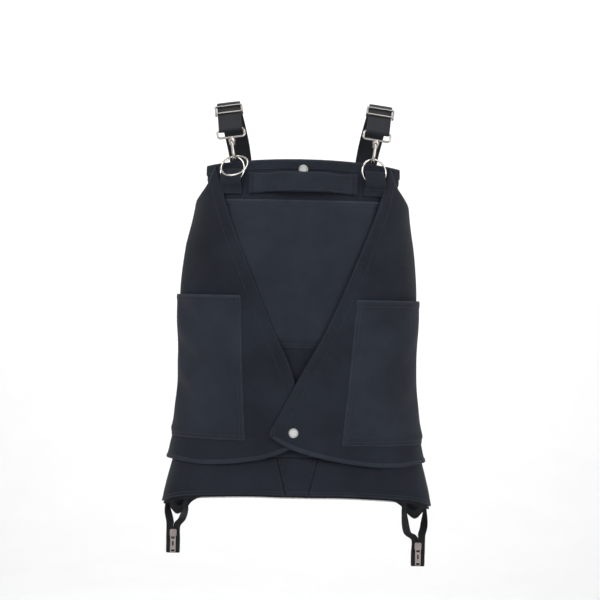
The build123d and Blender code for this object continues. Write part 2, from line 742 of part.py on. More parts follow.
slope = radians(STRAP_SLOPE)
run_way = Vector(sin(slope), cos(slope))
run_out = Vector(-cos(slope), sin(slope))
def strap(bar_plane):
    """Webbing: up from the eye, over the shoulder and down to the back, with its fold round the eye."""
    out_start = run_out * PLY_RADIUS
    in_start = run_out * -PLY_RADIUS
    run_end = out_start + run_way * STRAP_STRAIGHT
    with BuildPart() as webbing:
        with BuildSketch(bar_plane):
            with BuildLine() as path:
                Line(in_start + run_way * INNER_PLY, in_start)
                ThreePointArc(in_start, run_way * -PLY_RADIUS, out_start)
                Line(out_start, run_end)
                front = JernArc(run_end, run_way, SHOULDER_RADIUS, -(90 - STRAP_SLOPE))
                back = JernArc(front @ 1, front % 1, BACK_RADIUS, -BACK_DROP)
                Line(back @ 1, (back @ 1) + (back % 1) * STRAP_BACK_RUN)
            trace(path.line, line_width=WEBBING_THICKNESS)
        extrude(amount=WEBBING_WIDTH / 2, both=True)
    return webbing.part


def strap_frame_plane(bar_plane, distance, lift):
    """Plane lying on the front run of the strap: local x across it, local y up it, z outwards."""
    spot = bar_plane.from_local_coords(run_way * distance + run_out * lift)
    outwards = bar_plane.from_local_coords(run_out) - bar_plane.origin
    return Plane(origin=spot, x_dir=strap_across, z_dir=outwards)


def adjuster(bar_plane):
    """Slide adjuster: two bars in front of the webbing and one behind, joined at the sides."""
    front_lift = OUTER_FACE + GAP + ADJUSTER_WIRE / 2
    half = ADJUSTER_WIDTH / 2
    rise = (ADJUSTER_HEIGHT - ADJUSTER_WIRE) / 2
    lay = strap_frame_plane(bar_plane, ADJUSTER_PLACE, front_lift)
    with BuildPart() as frame:
        with BuildSketch(lay.offset(-ADJUSTER_WIRE / 2)):
            RectangleRounded(ADJUSTER_WIDTH, ADJUSTER_HEIGHT, 4)
            Rectangle(2 * half - 2 * ADJUSTER_WIRE, ADJUSTER_HEIGHT - 2 * ADJUSTER_WIRE, mode=Mode.SUBTRACT)
        extrude(amount=ADJUSTER_WIRE)
        for side in (1, -1):
            with BuildSketch(lay.offset(-ADJUSTER_WIRE / 2)):
                with Locations((side * (half - ADJUSTER_WIRE / 2), 0)):
                    Rectangle(ADJUSTER_WIRE, 2 * rise - 8)
            extrude(amount=-(front_lift - MIDDLE_BAR_LIFT))
        with BuildSketch(Plane(origin=lay.origin, x_dir=lay.y_dir, z_dir=lay.x_dir).offset(-half)):
            with Locations((0, -(front_lift - MIDDLE_BAR_LIFT))):
                Circle(ADJUSTER_WIRE / 2)
        extrude(amount=ADJUSTER_WIDTH)
    return frame.part


def strap_end(bar_plane):
    """End of the webbing sewn round the adjuster's middle bar."""
    lay = strap_frame_plane(bar_plane, ADJUSTER_PLACE, MIDDLE_BAR_LIFT)
    with BuildPart() as end:
        with BuildSketch(Plane(origin=lay.origin, x_dir=lay.y_dir, z_dir=lay.x_dir)):
            Circle(ADJUSTER_WIRE / 2 + 1.2)
            with Locations((-7, -ADJUSTER_WIRE / 2 - 0.3)):
                Rectangle(14, 1.8)
            Circle(ADJUSTER_WIRE / 2, mode=Mode.SUBTRACT)
        extrude(amount=WEBBING_WIDTH / 2, both=True)
    return end.part


def strap_back_tab():
    """Reinforced end of the strap, sewn on the outside of the back panel."""
    half = WEBBING_WIDTH / 2 + 1
    outside = (BAND_OUTSIDE[0] + BACK_TAB_THICKNESS, BAND_OUTSIDE[1] + BACK_TAB_THICKNESS)
    outline = rectangle(BACK_TAB_X - half, BACK_TAB_X + half, BACK_TAB_LOW, BACK_TOP + 4)
    return cut_layer(BAND_OUTSIDE, outside, prism(outline, REACH, 0.0))


for side, shift in hook_side.items():
    bow_plane = chain_plane(-shift, HOOK_LIFT)
    bar_plane = chain_plane(-shift, HOOK_LIFT + EYE_TOP_BAR)
    pieces = {
        "hook_body": hook_body(bow_plane),
        "hook_lever": hook_lever(bow_plane),
        "lever_pin": lever_pin(bow_plane),
        "lever_spring": lever_spring(bow_plane),
        "swivel_eye": swivel_eye(bow_plane),
        "strap": strap(bar_plane),
        "adjuster": adjuster(bar_plane),
        "strap_end": strap_end(bar_plane),
        "strap_back_tab": strap_back_tab(),
    }
    for name, piece in pieces.items():
        if side == "right":
            write(f"{name}_right", piece)
        else:
            write_left(f"{name}_left", piece)

# The second ring of the left hook leans forwards out of it.
loose_pitch = radians(LOOSE_PITCH)
loose_roll = radians(LOOSE_ROLL)
loose_touch = radians(LOOSE_TOUCH)
left_level = Vector(tab_plane.x_dir.X, -tab_plane.x_dir.Y, 0).normalized()
left_back = Vector(0, 0, 1).cross(left_level)
upright = left_back * sin(loose_pitch) + Vector(0, 0, cos(loose_pitch))
major = left_level * cos(loose_roll) + upright * sin(loose_roll)
lean = upright * cos(loose_roll) - left_level * sin(loose_roll)
left_ring_top = Vector(-ring_top.X, ring_top.Y - 2 * TWO_RING_SHIFT, ring_top.Z)
loose_centre = left_ring_top - (major * cos(loose_touch) + lean * sin(loose_touch)) * LOOSE_RADIUS
loose_plane = Plane(origin=loose_centre, x_dir=major, z_dir=major.cross(lean))
write("loose_ring", wire_ring(loose_plane, LOOSE_RADIUS, RING_WIRE))


# ================================================================ hem zips
def hem_tape(near, far, low_outline):
    """Zip tape sewn inside a hem."""
    outside = (-TAPE_SEAM, -TAPE_SEAM)
    inside = (-TAPE_SEAM - TAPE_THICKNESS, -TAPE_SEAM - TAPE_THICKNESS)
    return cut_layer(inside, outside, prism(low_outline, near, far))


def hem_strip(low, corner, height):
    """Bowed strip along the front hem."""
    with BuildSketch() as sketch:
        with BuildLine():
            Spline((-REACH, corner), (-150, low - 4), (0, low), (150, low - 4), (REACH, corner))
            Polyline((REACH, corner), (REACH, corner + height))
            Spline(
                (REACH, corner + height),
                (150, low - 4 + height),
                (0, low + height),
                (-150, low - 4 + height),
                (-REACH, corner + height),
            )
            Polyline((-REACH, corner + height), (-REACH, corner))
        make_face()
    return sketch.sketch


def back_strip(low, high):
    """Strip along the back hem, between two heights measured from the hem."""
    with BuildSketch() as sketch:
        with BuildLine() as right_half:
            low_points = back_hem_points(low)
            high_points = back_hem_points(high)
            Spline(*low_points)
            Line(low_points[0], high_points[0])
            Spline(*high_points)
            mirror(right_half.line, about=Plane.YZ)
        make_face()
    return sketch.sketch


write("zip_tape_front", hem_tape(-1.0, -REACH, hem_strip(FRONT_HEM - 6, FRONT_HEM_CORNER - 6, 14)))
write("zip_tape_back", hem_tape(REACH, 1.0, back_strip(-4.0, 9.0)))


def zip_tail(slider_z):
    """Free end of the zip on the right: one tape from each hem, meeting above the slider."""
    meet = slider_z + 16
    foot = slider_z - 9
    half = TAPE_SPLIT / 2 + TAPE_WIDTH / 2
    starts = [(half, (211.0, -14.0, FRONT_HEM_CORNER - 6.5)), (-half, (184.0, -84.0, FRONT_HEM - 15))]
    with BuildPart() as tail:
        for offset_x, start in starts:
            with BuildSketch(Plane.XY.offset(start[2])):
                with Locations((start[0], start[1])):
                    Rectangle(TAPE_WIDTH, TAPE_THICKNESS * 1.6)
            with BuildSketch(Plane.XY.offset(meet)):
                with Locations((ZIP_X + offset_x, ZIP_Y)):
                    Rectangle(TAPE_WIDTH, TAPE_THICKNESS)
            loft(ruled=True)
            with BuildSketch(Plane.XY.offset(foot)):
                with Locations((ZIP_X + offset_x, ZIP_Y)):
                    Rectangle(TAPE_WIDTH, TAPE_THICKNESS)
            extrude(amount=meet - foot)
    return tail.part


def zip_end_box(slider_z):
    """Square stop that holds both tape ends."""
    with BuildPart() as box:
        with BuildSketch(Plane.XY.offset(slider_z - 9 - END_BOX[1])):
            with Locations((ZIP_X, ZIP_Y)):
                RectangleRounded(END_BOX[0], END_BOX[2], 1.2)
        extrude(amount=END_BOX[1])
        fillet(box.edges().group_by(Axis.Z)[0], 0.8)
    return box.part


def zip_slider(slider_z):
    """Slider: front and back plate, the wedge between the tapes and the bridge for the pull."""
    width, height, plate = SLIDER_SIZE
    clear = TAPE_THICKNESS / 2 + GAP
    front = Plane(origin=(ZIP_X, ZIP_Y, slider_z), x_dir=(1, 0, 0), z_dir=(0, -1, 0))
    with BuildPart() as slider:
        for side in (1, -1):
            with BuildSketch(front.offset(side * clear)):
                RectangleRounded(width, height, 2.5)
            extrude(amount=side * plate)
        with BuildSketch(front.offset(-clear - plate / 2)):
            with Locations((0, height / 2 - 2)):
                Rectangle(TAPE_SPLIT - 2 * 0.3, 4)
        extrude(amount=2 * clear + plate)
        for end in (1, -1):
            with BuildSketch(front.offset(clear + plate - 0.2)):
                with Locations((0, end * 4.2)):
                    Rectangle(2.4, 1.4)
            extrude(amount=3.9)
        with BuildSketch(front.offset(clear + plate + 2.6)):
            RectangleRounded(2.4, 9.8, 0.8)
        extrude(amount=1.1)
    return slider.part


def zip_pull(slider_z):
    """Pull: a bar under the slider's bridge, a flat tongue with a slot and an open end."""
    clear = TAPE_THICKNESS / 2 + GAP
    lift = clear + SLIDER_SIZE[2] + 0.6
    front = Plane(origin=(ZIP_X, ZIP_Y, slider_z), x_dir=(1, 0, 0), z_dir=(0, -1, 0))
    reach = PULL_LENGTH / 2 - PULL_THICKNESS / 2
    with BuildPart() as pull:
        with BuildSketch(front.offset(lift)):
            with Locations((0, -reach)):
                RectangleRounded(PULL_WIDTH, PULL_LENGTH, 0.6)
            with Locations((0, -PULL_THICKNESS / 2 - 4.4)):
                Rectangle(5.6, 8.8, mode=Mode.SUBTRACT)
            with Locations((0, -17.0)):
                SlotOverall(8.0, 2.6, rotation=90, mode=Mode.SUBTRACT)
            with Locations((0, -PULL_LENGTH + 3.4)):
                SlotOverall(6.2, 3.4, mode=Mode.SUBTRACT)
        extrude(amount=PULL_THICKNESS)
    return pull.part


for side, slider_z in ZIP_SLIDER_Z.items():
    pieces = {
        "zip_tail": zip_tail(slider_z),
        "zip_end_box": zip_end_box(slider_z),
        "zip_slider": zip_slider(slider_z),
        "zip_pull": zip_pull(slider_z),
    }
    for name, piece in pieces.items():
        if side == "right":
            write(f"{name}_right", piece)
        else:
            write_left(f"{name}_left", piece)
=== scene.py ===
"""Looks of the utility bib vest: cloth, webbing, metal and the studio round them. Metres, +Z up."""

import json
import math

import bmesh
import bpy
import numpy as np
from mathutils import Matrix, Vector, geometry, noise
from mathutils.bvhtree import BVHTree

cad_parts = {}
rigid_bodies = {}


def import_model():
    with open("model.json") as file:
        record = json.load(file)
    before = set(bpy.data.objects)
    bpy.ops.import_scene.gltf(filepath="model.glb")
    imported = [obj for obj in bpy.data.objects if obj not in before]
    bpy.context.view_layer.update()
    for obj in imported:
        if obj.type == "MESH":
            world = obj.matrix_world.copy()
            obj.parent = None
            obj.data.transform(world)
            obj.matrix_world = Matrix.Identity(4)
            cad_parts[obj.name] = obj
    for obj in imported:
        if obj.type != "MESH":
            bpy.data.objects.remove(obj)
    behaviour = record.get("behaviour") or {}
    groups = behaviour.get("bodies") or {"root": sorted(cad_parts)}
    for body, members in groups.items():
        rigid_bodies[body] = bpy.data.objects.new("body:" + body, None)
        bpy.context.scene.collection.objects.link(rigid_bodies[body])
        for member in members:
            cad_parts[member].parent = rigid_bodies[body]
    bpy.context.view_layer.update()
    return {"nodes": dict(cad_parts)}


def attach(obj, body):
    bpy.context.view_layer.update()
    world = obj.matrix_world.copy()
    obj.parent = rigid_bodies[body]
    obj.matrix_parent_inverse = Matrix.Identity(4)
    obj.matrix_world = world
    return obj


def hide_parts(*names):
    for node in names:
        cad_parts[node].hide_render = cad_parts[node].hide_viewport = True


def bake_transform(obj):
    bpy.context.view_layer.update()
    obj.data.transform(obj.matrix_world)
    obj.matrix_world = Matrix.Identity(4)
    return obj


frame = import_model()

MM = 0.001

# ---------------------------------------------------------------- the worn tube, as in the CAD source
# Level, half width and half depth, in millimetres.
BODY_LEVELS = [
    (-60, 158, 80), (-110, 165, 95), (-180, 172.5, 109), (-250, 180.5, 114), (-340, 182.5, 112),
    (-440, 180, 112), (-510, 184, 116), (-560, 198.5, 121.5), (-640, 218, 129), (-700, 223, 133),
]
SQUARENESS = 2.8
ARC_STEPS = 160
LEVEL_STEP = 4.0
QUARTER = 251.0     # cloth length of a quarter round the tube, the same at every level

# Growths (x, y) of the cloth faces off the tube, in millimetres.
BODY_FACE = (1.2, 1.2)
BAND_FACE = (2.2, 2.2)
CHEST_FACE = (2.5, 2.5)
LEFT_FLAP = (5.0, 9.2)
RIGHT_FLAP = (5.0, 13.0)
POUCH_OFF_FLAP = 1.3


def half_size(z):
    """Half width and half depth of the tube at levels z (millimetres), eased through the levels."""
    z = np.asarray(z, float)
    levels = np.array(BODY_LEVELS, float)
    i = np.clip(np.searchsorted(-levels[:, 0], -z, side="right") - 1, 0, len(levels) - 2)
    low, high = levels[i], levels[i + 1]
    before = levels[np.maximum(i - 1, 0)]
    after = levels[np.minimum(i + 2, len(levels) - 1)]
    span = high[..., 0] - low[..., 0]
    t = (z - low[..., 0]) / span
    rise = 3 * t**2 - 2 * t**3
    sizes = []
    for k in (1, 2):
        start = (high[..., k] - before[..., k]) / (high[..., 0] - before[..., 0]) * span
        end = (after[..., k] - low[..., k]) / (after[..., 0] - low[..., 0]) * span
        value = low[..., k] + (high[..., k] - low[..., k]) * rise
        sizes.append(value + start * (t**3 - 2 * t**2 + t) + end * (t**3 - t**2))
    return sizes


def arc_table(z):
    """Directions and running arc length of a quarter section at each level, from the front to the side."""
    a, b = half_size(z)
    angle = np.linspace(0, math.pi / 2, ARC_STEPS)
    cos, sin = np.cos(angle), np.sin(angle)
    reach = (cos**SQUARENESS + sin**SQUARENESS) ** (-1 / SQUARENESS)
    x = np.multiply.outer(a, reach * sin)
    y = np.multiply.outer(b, reach * cos)
    steps = np.hypot(np.diff(x, axis=-1), np.diff(y, axis=-1))
    arc = np.concatenate([np.zeros(x.shape[:-1] + (1,)), np.cumsum(steps, axis=-1)], axis=-1)
    return x, y, arc


LEVEL_GRID = np.arange(-740.0, -59.0, LEVEL_STEP)
GRID_X, GRID_Y, GRID_ARC = arc_table(LEVEL_GRID)


def look_up(table, column, z):
    """Values of a table between its levels, at fractional columns."""
    row = np.clip((z - LEVEL_GRID[0]) / LEVEL_STEP, 0, len(LEVEL_GRID) - 1.001)
    r = row.astype(int)
    fr = row - r
    column = np.clip(column, 0, ARC_STEPS - 1.001)
    c = column.astype(int)
    fc = column - c
    top = table[r, c] * (1 - fc) + table[r, c + 1] * fc
    foot = table[r + 1, c] * (1 - fc) + table[r + 1, c + 1] * fc
    return top * (1 - fr) + foot * fr


SHARE_GRID = GRID_ARC / GRID_ARC[:, -1:]
EVEN_SHARE = np.linspace(0, 1, ARC_STEPS)
COLUMN_OF_SHARE = np.array([np.interp(EVEN_SHARE, row, np.arange(ARC_STEPS)) for row in SHARE_GRID])
SHARE_OF_X = np.array([np.interp(EVEN_SHARE, row_x / row_x[-1], row) for row_x, row in zip(GRID_X, SHARE_GRID)])


def u_of(x, z, gx=1.2):
    """Cloth coordinate across the front, -1 to 1 from side to side, of a front view X."""
    x, z = np.asarray(x, float), np.asarray(z, float)
    a, _ = half_size(z)
    share = look_up(SHARE_OF_X, np.clip(np.abs(x) / (a + gx), 0, 1) * (ARC_STEPS - 1), z)
    return np.sign(x) * share


def place(u, z, grow, lift=None):
    """Points on the tube grown by grow (two numbers or arrays), lifted outwards by lift. u beyond 1 is the back."""
    u, z = np.asarray(u, float), np.asarray(z, float)
    u = np.where(u > 2, u - 4, u)
    au = np.abs(u)
    back = au > 1
    share = np.where(back, 2 - au, au)
    column = look_up(COLUMN_OF_SHARE, share * (ARC_STEPS - 1), z)
    a, b = half_size(z)
    gx, gy = grow
    x = look_up(GRID_X, column, z) * (a + gx) / a * np.sign(np.where(u == 0, 1, u))
    y = look_up(GRID_Y, column, z) * (b + gy) / b * np.where(back, 1, -1)
    points = np.stack([x, y, z], -1)
    if lift is not None:
        nx = np.sign(x) * (np.abs(x) / (a + gx)) ** (SQUARENESS - 1) / (a + gx)
        ny = np.sign(y) * (np.abs(y) / (b + gy)) ** (SQUARENESS - 1) / (b + gy)
        size = np.hypot(nx, ny) + 1e-9
        points[..., 0] += nx / size * lift
        points[..., 1] += ny / size * lift
    return points * MM


def smooth(t):
    """Eased step from 0 to 1."""
    t = np.clip(t, 0, 1)
    return t * t * (3 - 2 * t)


def curve_through(points, per=8, soft_ends=False):
    """Smooth line through points, with the given number of steps for each stretch."""
    pts = np.array(points, float)
    if soft_ends:
        before = np.vstack([pts[0], pts, pts[-1]])
    else:
        before = np.vstack([2 * pts[0] - pts[1], pts, 2 * pts[-1] - pts[-2]])
    out = []
    for i in range(len(pts) - 1):
        p0, p1, p2, p3 = before[i:i + 4]
        for k in range(per):
            t = k / per
            out.append(0.5 * (2 * p1 + (p2 - p0) * t + (2 * p0 - 5 * p1 + 4 * p2 - p3) * t**2
                              + (3 * p1 - p0 - 3 * p2 + p3) * t**3))
    out.append(pts[-1])
    return np.array(out)


def resample(points, step):
    """The same line with points an even step apart."""
    pts = np.array(points, float)
    lengths = np.concatenate([[0], np.cumsum(np.linalg.norm(np.diff(pts, axis=0), axis=1))])
    count = max(2, int(round(lengths[-1] / step)) + 1)
    even = np.linspace(0, lengths[-1], count)
    return np.stack([np.interp(even, lengths, pts[:, k]) for k in range(pts.shape[1])], -1)


def line_distance(points, line):
    """Distance of 2-D points from a polyline."""
    best = np.full(len(points), 1e9)
    for a, b in zip(line[:-1], line[1:]):
        d = b - a
        size = d @ d
        if size < 1e-12:
            continue
        t = np.clip(((points - a) @ d) / size, 0, 1)
        best = np.minimum(best, np.linalg.norm(points - a - t[:, None] * d, axis=1))
    return best


def waves(u, z, seed, size, amount, stretch=1.0):
    """Soft uneven rise and fall of cloth, in millimetres. size is the width of a wave."""
    out = np.empty(len(u))
    for i, (s, h) in enumerate(zip(np.asarray(u) * QUARTER, z)):
        out[i] = noise.noise(Vector((s / size, h / (size * stretch), seed * 7.31)))
    return out * amount


# ---------------------------------------------------------------- materials
def linear(rgb):
    """Linear colour of 8-bit screen values."""
    made = []
    for value in rgb:
        c = value / 255
        made.append(c / 12.92 if c <= 0.04045 else ((c + 0.055) / 1.055) ** 2.4)
    return (*made, 1.0)


def shaded(colour, share):
    """Darker or lighter shade of a linear colour."""
    return tuple(c * share for c in colour[:3]) + (1.0,)


class Nodes:
    """Small helper that wires up one material."""

    def __init__(self, name):
        self.material = bpy.data.materials.new(name)
        self.material.use_nodes = True
        self.tree = self.material.node_tree
        self.shader = self.tree.nodes["Principled BSDF"]

    def add(self, kind, inputs=None, **settings):
        node = self.tree.nodes.new(kind)
        for key, value in settings.items():
            setattr(node, key, value)
        for key, value in (inputs or {}).items():
            if isinstance(value, bpy.types.NodeSocket):
                self.tree.links.new(value, node.inputs[key])
            else:
                node.inputs[key].default_value = value
        return node

    def math(self, operation, a, b=0.0):
        return self.add("ShaderNodeMath", {0: a, 1: b}, operation=operation).outputs[0]

    def mix(self, factor, a, b):
        node = self.add("ShaderNodeMix", {0: factor}, data_type="RGBA")
        for socket, value in ((node.inputs[6], a), (node.inputs[7], b)):
            if isinstance(value, bpy.types.NodeSocket):
                self.tree.links.new(value, socket)
            else:
                socket.default_value = value
        return node.outputs[2]

    def noise(self, vector, scale, detail=3.0, rough=0.55):
        inputs = {"Vector": vector, "Scale": scale, "Detail": detail, "Roughness": rough}
        return self.add("ShaderNodeTexNoise", inputs).outputs[0]

    def spread(self, value, low, high, to_low=0.0, to_high=1.0):
        """The value's range from low to high, stretched to another range."""
        return self.add("ShaderNodeMapRange", {0: value, 1: low, 2: high, 3: to_low, 4: to_high}).outputs[0]

    def bump(self, height, strength, distance, normal=None):
        inputs = {"Strength": strength, "Distance": distance, "Height": height}
        if normal is not None:
            inputs["Normal"] = normal
        return self.add("ShaderNodeBump", inputs).outputs[0]

    def set(self, **values):
        for key, value in values.items():
            socket = self.shader.inputs[key.replace("_", " ")]
            if isinstance(value, bpy.types.NodeSocket):
                self.tree.links.new(value, socket)
            else:
                socket.default_value = value


def fabric(name, colour, worn_and_lit, pitch=0.00075, rib=False, roughness=0.82, from_cloth=True):
    """Woven cotton or webbing: threads from the cloth coordinates, slubs, fading and lint, and paler edges that are
    partly rubbed cloth and partly a painted highlight.
    """
    n = Nodes(name)
    uv = n.add("ShaderNodeUVMap", uv_map="cloth").outputs[0]
    if not from_cloth:
        own = n.add("ShaderNodeTexCoord").outputs["Object"]
        uv = n.add("ShaderNodeMapping", {0: own, 2: (math.pi / 2, 0.0, 0.0)}).outputs[0]
    split = n.add("ShaderNodeSeparateXYZ", {0: uv})
    wave = 2 * math.pi / pitch
    across = n.math("SINE", n.math("MULTIPLY", split.outputs[0], wave))
    along = n.math("SINE", n.math("MULTIPLY", split.outputs[1], wave))
    if rib:
        weave = n.math("ADD", n.math("MULTIPLY", along, 0.7), n.math("MULTIPLY", across, 0.3))
    else:
        phases = [n.math("MULTIPLY", split.outputs[k], wave) for k in (0, 1)]
        twill = n.math("SINE", n.math("ADD", *phases))
        crossed = n.math("MULTIPLY", n.math("MULTIPLY", across, along), 0.65)
        weave = n.math("ADD", crossed, n.math("MULTIPLY", twill, 0.35))
    place_at = n.add("ShaderNodeTexCoord").outputs["Object"]
    stretched = n.add("ShaderNodeMapping", {0: uv, 3: (60.0, 900.0, 1.0)}).outputs[0]
    slub = n.noise(stretched, 1.0, 2.0)
    cloud = n.noise(place_at, 9.0, 5.0, 0.62)
    lint = n.noise(place_at, 420.0, 2.0, 0.7)
    base, pale = linear(colour), linear(worn_and_lit)
    dark, light = shaded(base, 0.5), shaded(base, 1.6)
    tone = n.mix(n.spread(cloud, 0.32, 0.7), dark, light)
    tone = n.mix(0.25, tone, base)
    grain = n.noise(place_at, 260.0, 3.0, 0.6)
    thread_tone = n.math("ADD", n.math("MULTIPLY", weave, 0.12), n.math("MULTIPLY", grain, 0.4))
    tone = n.mix(thread_tone, tone, dark)
    tone = n.mix(n.math("MULTIPLY", slub, 0.3), tone, light)
    tone = n.mix(n.spread(lint, 0.62, 0.78, 0.0, 0.34), tone, pale)
    # Pale edges: partly rubbed cloth, partly a painted highlight along the folded and free edges.
    wear_and_edge_highlight = n.add("ShaderNodeAttribute", attribute_name="wear_and_edge_highlight").outputs["Fac"]
    patchy = n.spread(n.noise(place_at, 55.0), 0.3, 0.7, 0.2, 0.7)
    tone = n.mix(n.math("MULTIPLY", wear_and_edge_highlight, patchy), tone, pale)
    first = n.bump(weave, 0.35, 0.00016)
    second = n.bump(n.math("ADD", slub, n.math("MULTIPLY", lint, 0.4)), 0.25, 0.0004, first)
    n.set(Base_Color=tone, Roughness=n.spread(cloud, 0.2, 0.8, roughness + 0.08, roughness - 0.08), Normal=second)
    n.shader.inputs["Sheen Weight"].default_value = 0.06
    n.shader.inputs["Sheen Roughness"].default_value = 0.45
    n.shader.inputs["Specular IOR Level"].default_value = 0.22
    return n.material


def thread(name, colour):
    """Sewing thread with a soft lustre and a little unevenness."""
    n = Nodes(name)
    place_at = n.add("ShaderNodeTexCoord").outputs["Object"]
    base = linear(colour)
    tone = n.mix(n.noise(place_at, 300.0), shaded(base, 0.6), shaded(base, 1.5))
    twist = n.add("ShaderNodeTexWave", {"Vector": place_at, "Scale": 900.0, "Distortion": 1.5})
    n.set(Base_Color=tone, Roughness=n.math("ADD", n.math("MULTIPLY", n.noise(place_at, 90.0), 0.2), 0.42),
          Normal=n.bump(twist.outputs[1], 0.3, 0.0001))
    return n.material


def metal(name, colour, roughness, scratch=0.35, tarnish=0.3):
    """Plated metal: brushed scratches, dull patches and fine dents."""
    n = Nodes(name)
    place_at = n.add("ShaderNodeTexCoord").outputs["Object"]
    base = linear(colour)
    patch = n.noise(place_at, 110.0, 4.0)
    drawn = n.add("ShaderNodeMapping", {0: place_at, 3: (1500.0, 1500.0, 140.0)}).outputs[0]
    fine = n.noise(drawn, 1.0, 3.0, 0.7)
    tone = n.mix(n.spread(patch, 0.35, 0.75, 0.0, tarnish), base, shaded(base, 0.45))
    uneven = n.math("ADD", n.math("MULTIPLY", fine, scratch * 0.4), n.math("MULTIPLY", patch, 0.14))
    n.set(Base_Color=tone, Metallic=1.0, Roughness=n.math("ADD", uneven, roughness - 0.12),
          Normal=n.bump(n.math("ADD", n.math("MULTIPLY", fine, scratch), patch), 0.16, 0.0001))
    return n.material


# The second colour of each fabric is its pale tone for lint and for the edges. On the edges it is partly rubbed
# cloth and partly a painted highlight.
CANVAS = fabric("canvas", (21, 26, 35), (44, 51, 63))
PAD_CANVAS = fabric("pad_canvas", (26, 31, 40), (52, 60, 72), from_cloth=False)
POCKET_CANVAS = fabric("pocket_canvas", (29, 34, 43), (50, 57, 68))
BINDING = fabric("binding", (33, 38, 47), (56, 62, 73), pitch=0.0006)
WEBBING = fabric("webbing", (26, 28, 33), (48, 51, 58), pitch=0.0016, rib=True, roughness=0.62)
ZIP_TAPE = fabric("zip_tape", (22, 23, 27), (42, 44, 49), pitch=0.0009, rib=True, roughness=0.75)
THREAD = thread("thread", (36, 40, 49))
NICKEL = metal("bright_nickel", (215, 212, 206), 0.22)
DARK_NICKEL = metal("dark_nickel", (196, 190, 184), 0.2, tarnish=0.45)
PEWTER = metal("zip_metal", (176, 167, 162), 0.3, tarnish=0.6)
SNAP = metal("snap_metal", (222, 221, 222), 0.3, tarnish=0.15)


# ---------------------------------------------------------------- cloth pieces
PIECES = {}
CLOTH_STEP = 4.5
LINE_STEP = 3.0
threads = {}


def flat(line_xz, gx=1.2):
    """Front view line as cloth coordinates (s, z) in millimetres."""
    line = resample(line_xz, LINE_STEP)
    return np.stack([u_of(line[:, 0], line[:, 1], gx) * QUARTER, line[:, 1]], -1)


def flat_back(line_xz):
    """Line seen through from the front on the back of the tube, as cloth coordinates."""
    line = resample(line_xz, LINE_STEP)
    return np.stack([(2 - u_of(line[:, 0], line[:, 1])) * QUARTER, line[:, 1]], -1)


def inside_loop(points, loop):
    """Which points lie inside a closed loop."""
    inside = np.zeros(len(points), bool)
    x, y = points[:, 0], points[:, 1]
    for (x0, y0), (x1, y1) in zip(loop, np.roll(loop, -1, axis=0)):
        crosses = (y0 > y) != (y1 > y)
        if y1 != y0:
            inside ^= crosses & (x < (x1 - x0) * (y - y0) / (y1 - y0) + x0)
    return inside


def mesh_object(name, points, faces, material, uv=None, wear_and_edge_highlight=None):
    """New mesh object in the scene with the cloth coordinates as its UV map."""
    mesh = bpy.data.meshes.new(name)
    mesh.from_pydata([tuple(p) for p in points], [], [tuple(f) for f in faces])
    if uv is not None:
        layer = mesh.uv_layers.new(name="cloth")
        index = np.empty(len(mesh.loops), np.int32)
        mesh.loops.foreach_get("vertex_index", index)
        layer.data.foreach_set("uv", np.asarray(uv, np.float32)[index].ravel())
    # Share of the pale edge tone at each point: partly rubbed cloth, partly a painted highlight.
    if wear_and_edge_highlight is not None:
        layer = mesh.attributes.new("wear_and_edge_highlight", "FLOAT", "POINT")
        layer.data.foreach_set("value", np.asarray(wear_and_edge_highlight, np.float32))
    mesh.polygons.foreach_set("use_smooth", np.ones(len(mesh.polygons), bool))
    mesh.materials.append(material)
    mesh.update()
    obj = bpy.data.objects.new(name, mesh)
    bpy.context.scene.collection.objects.link(obj)
    return obj


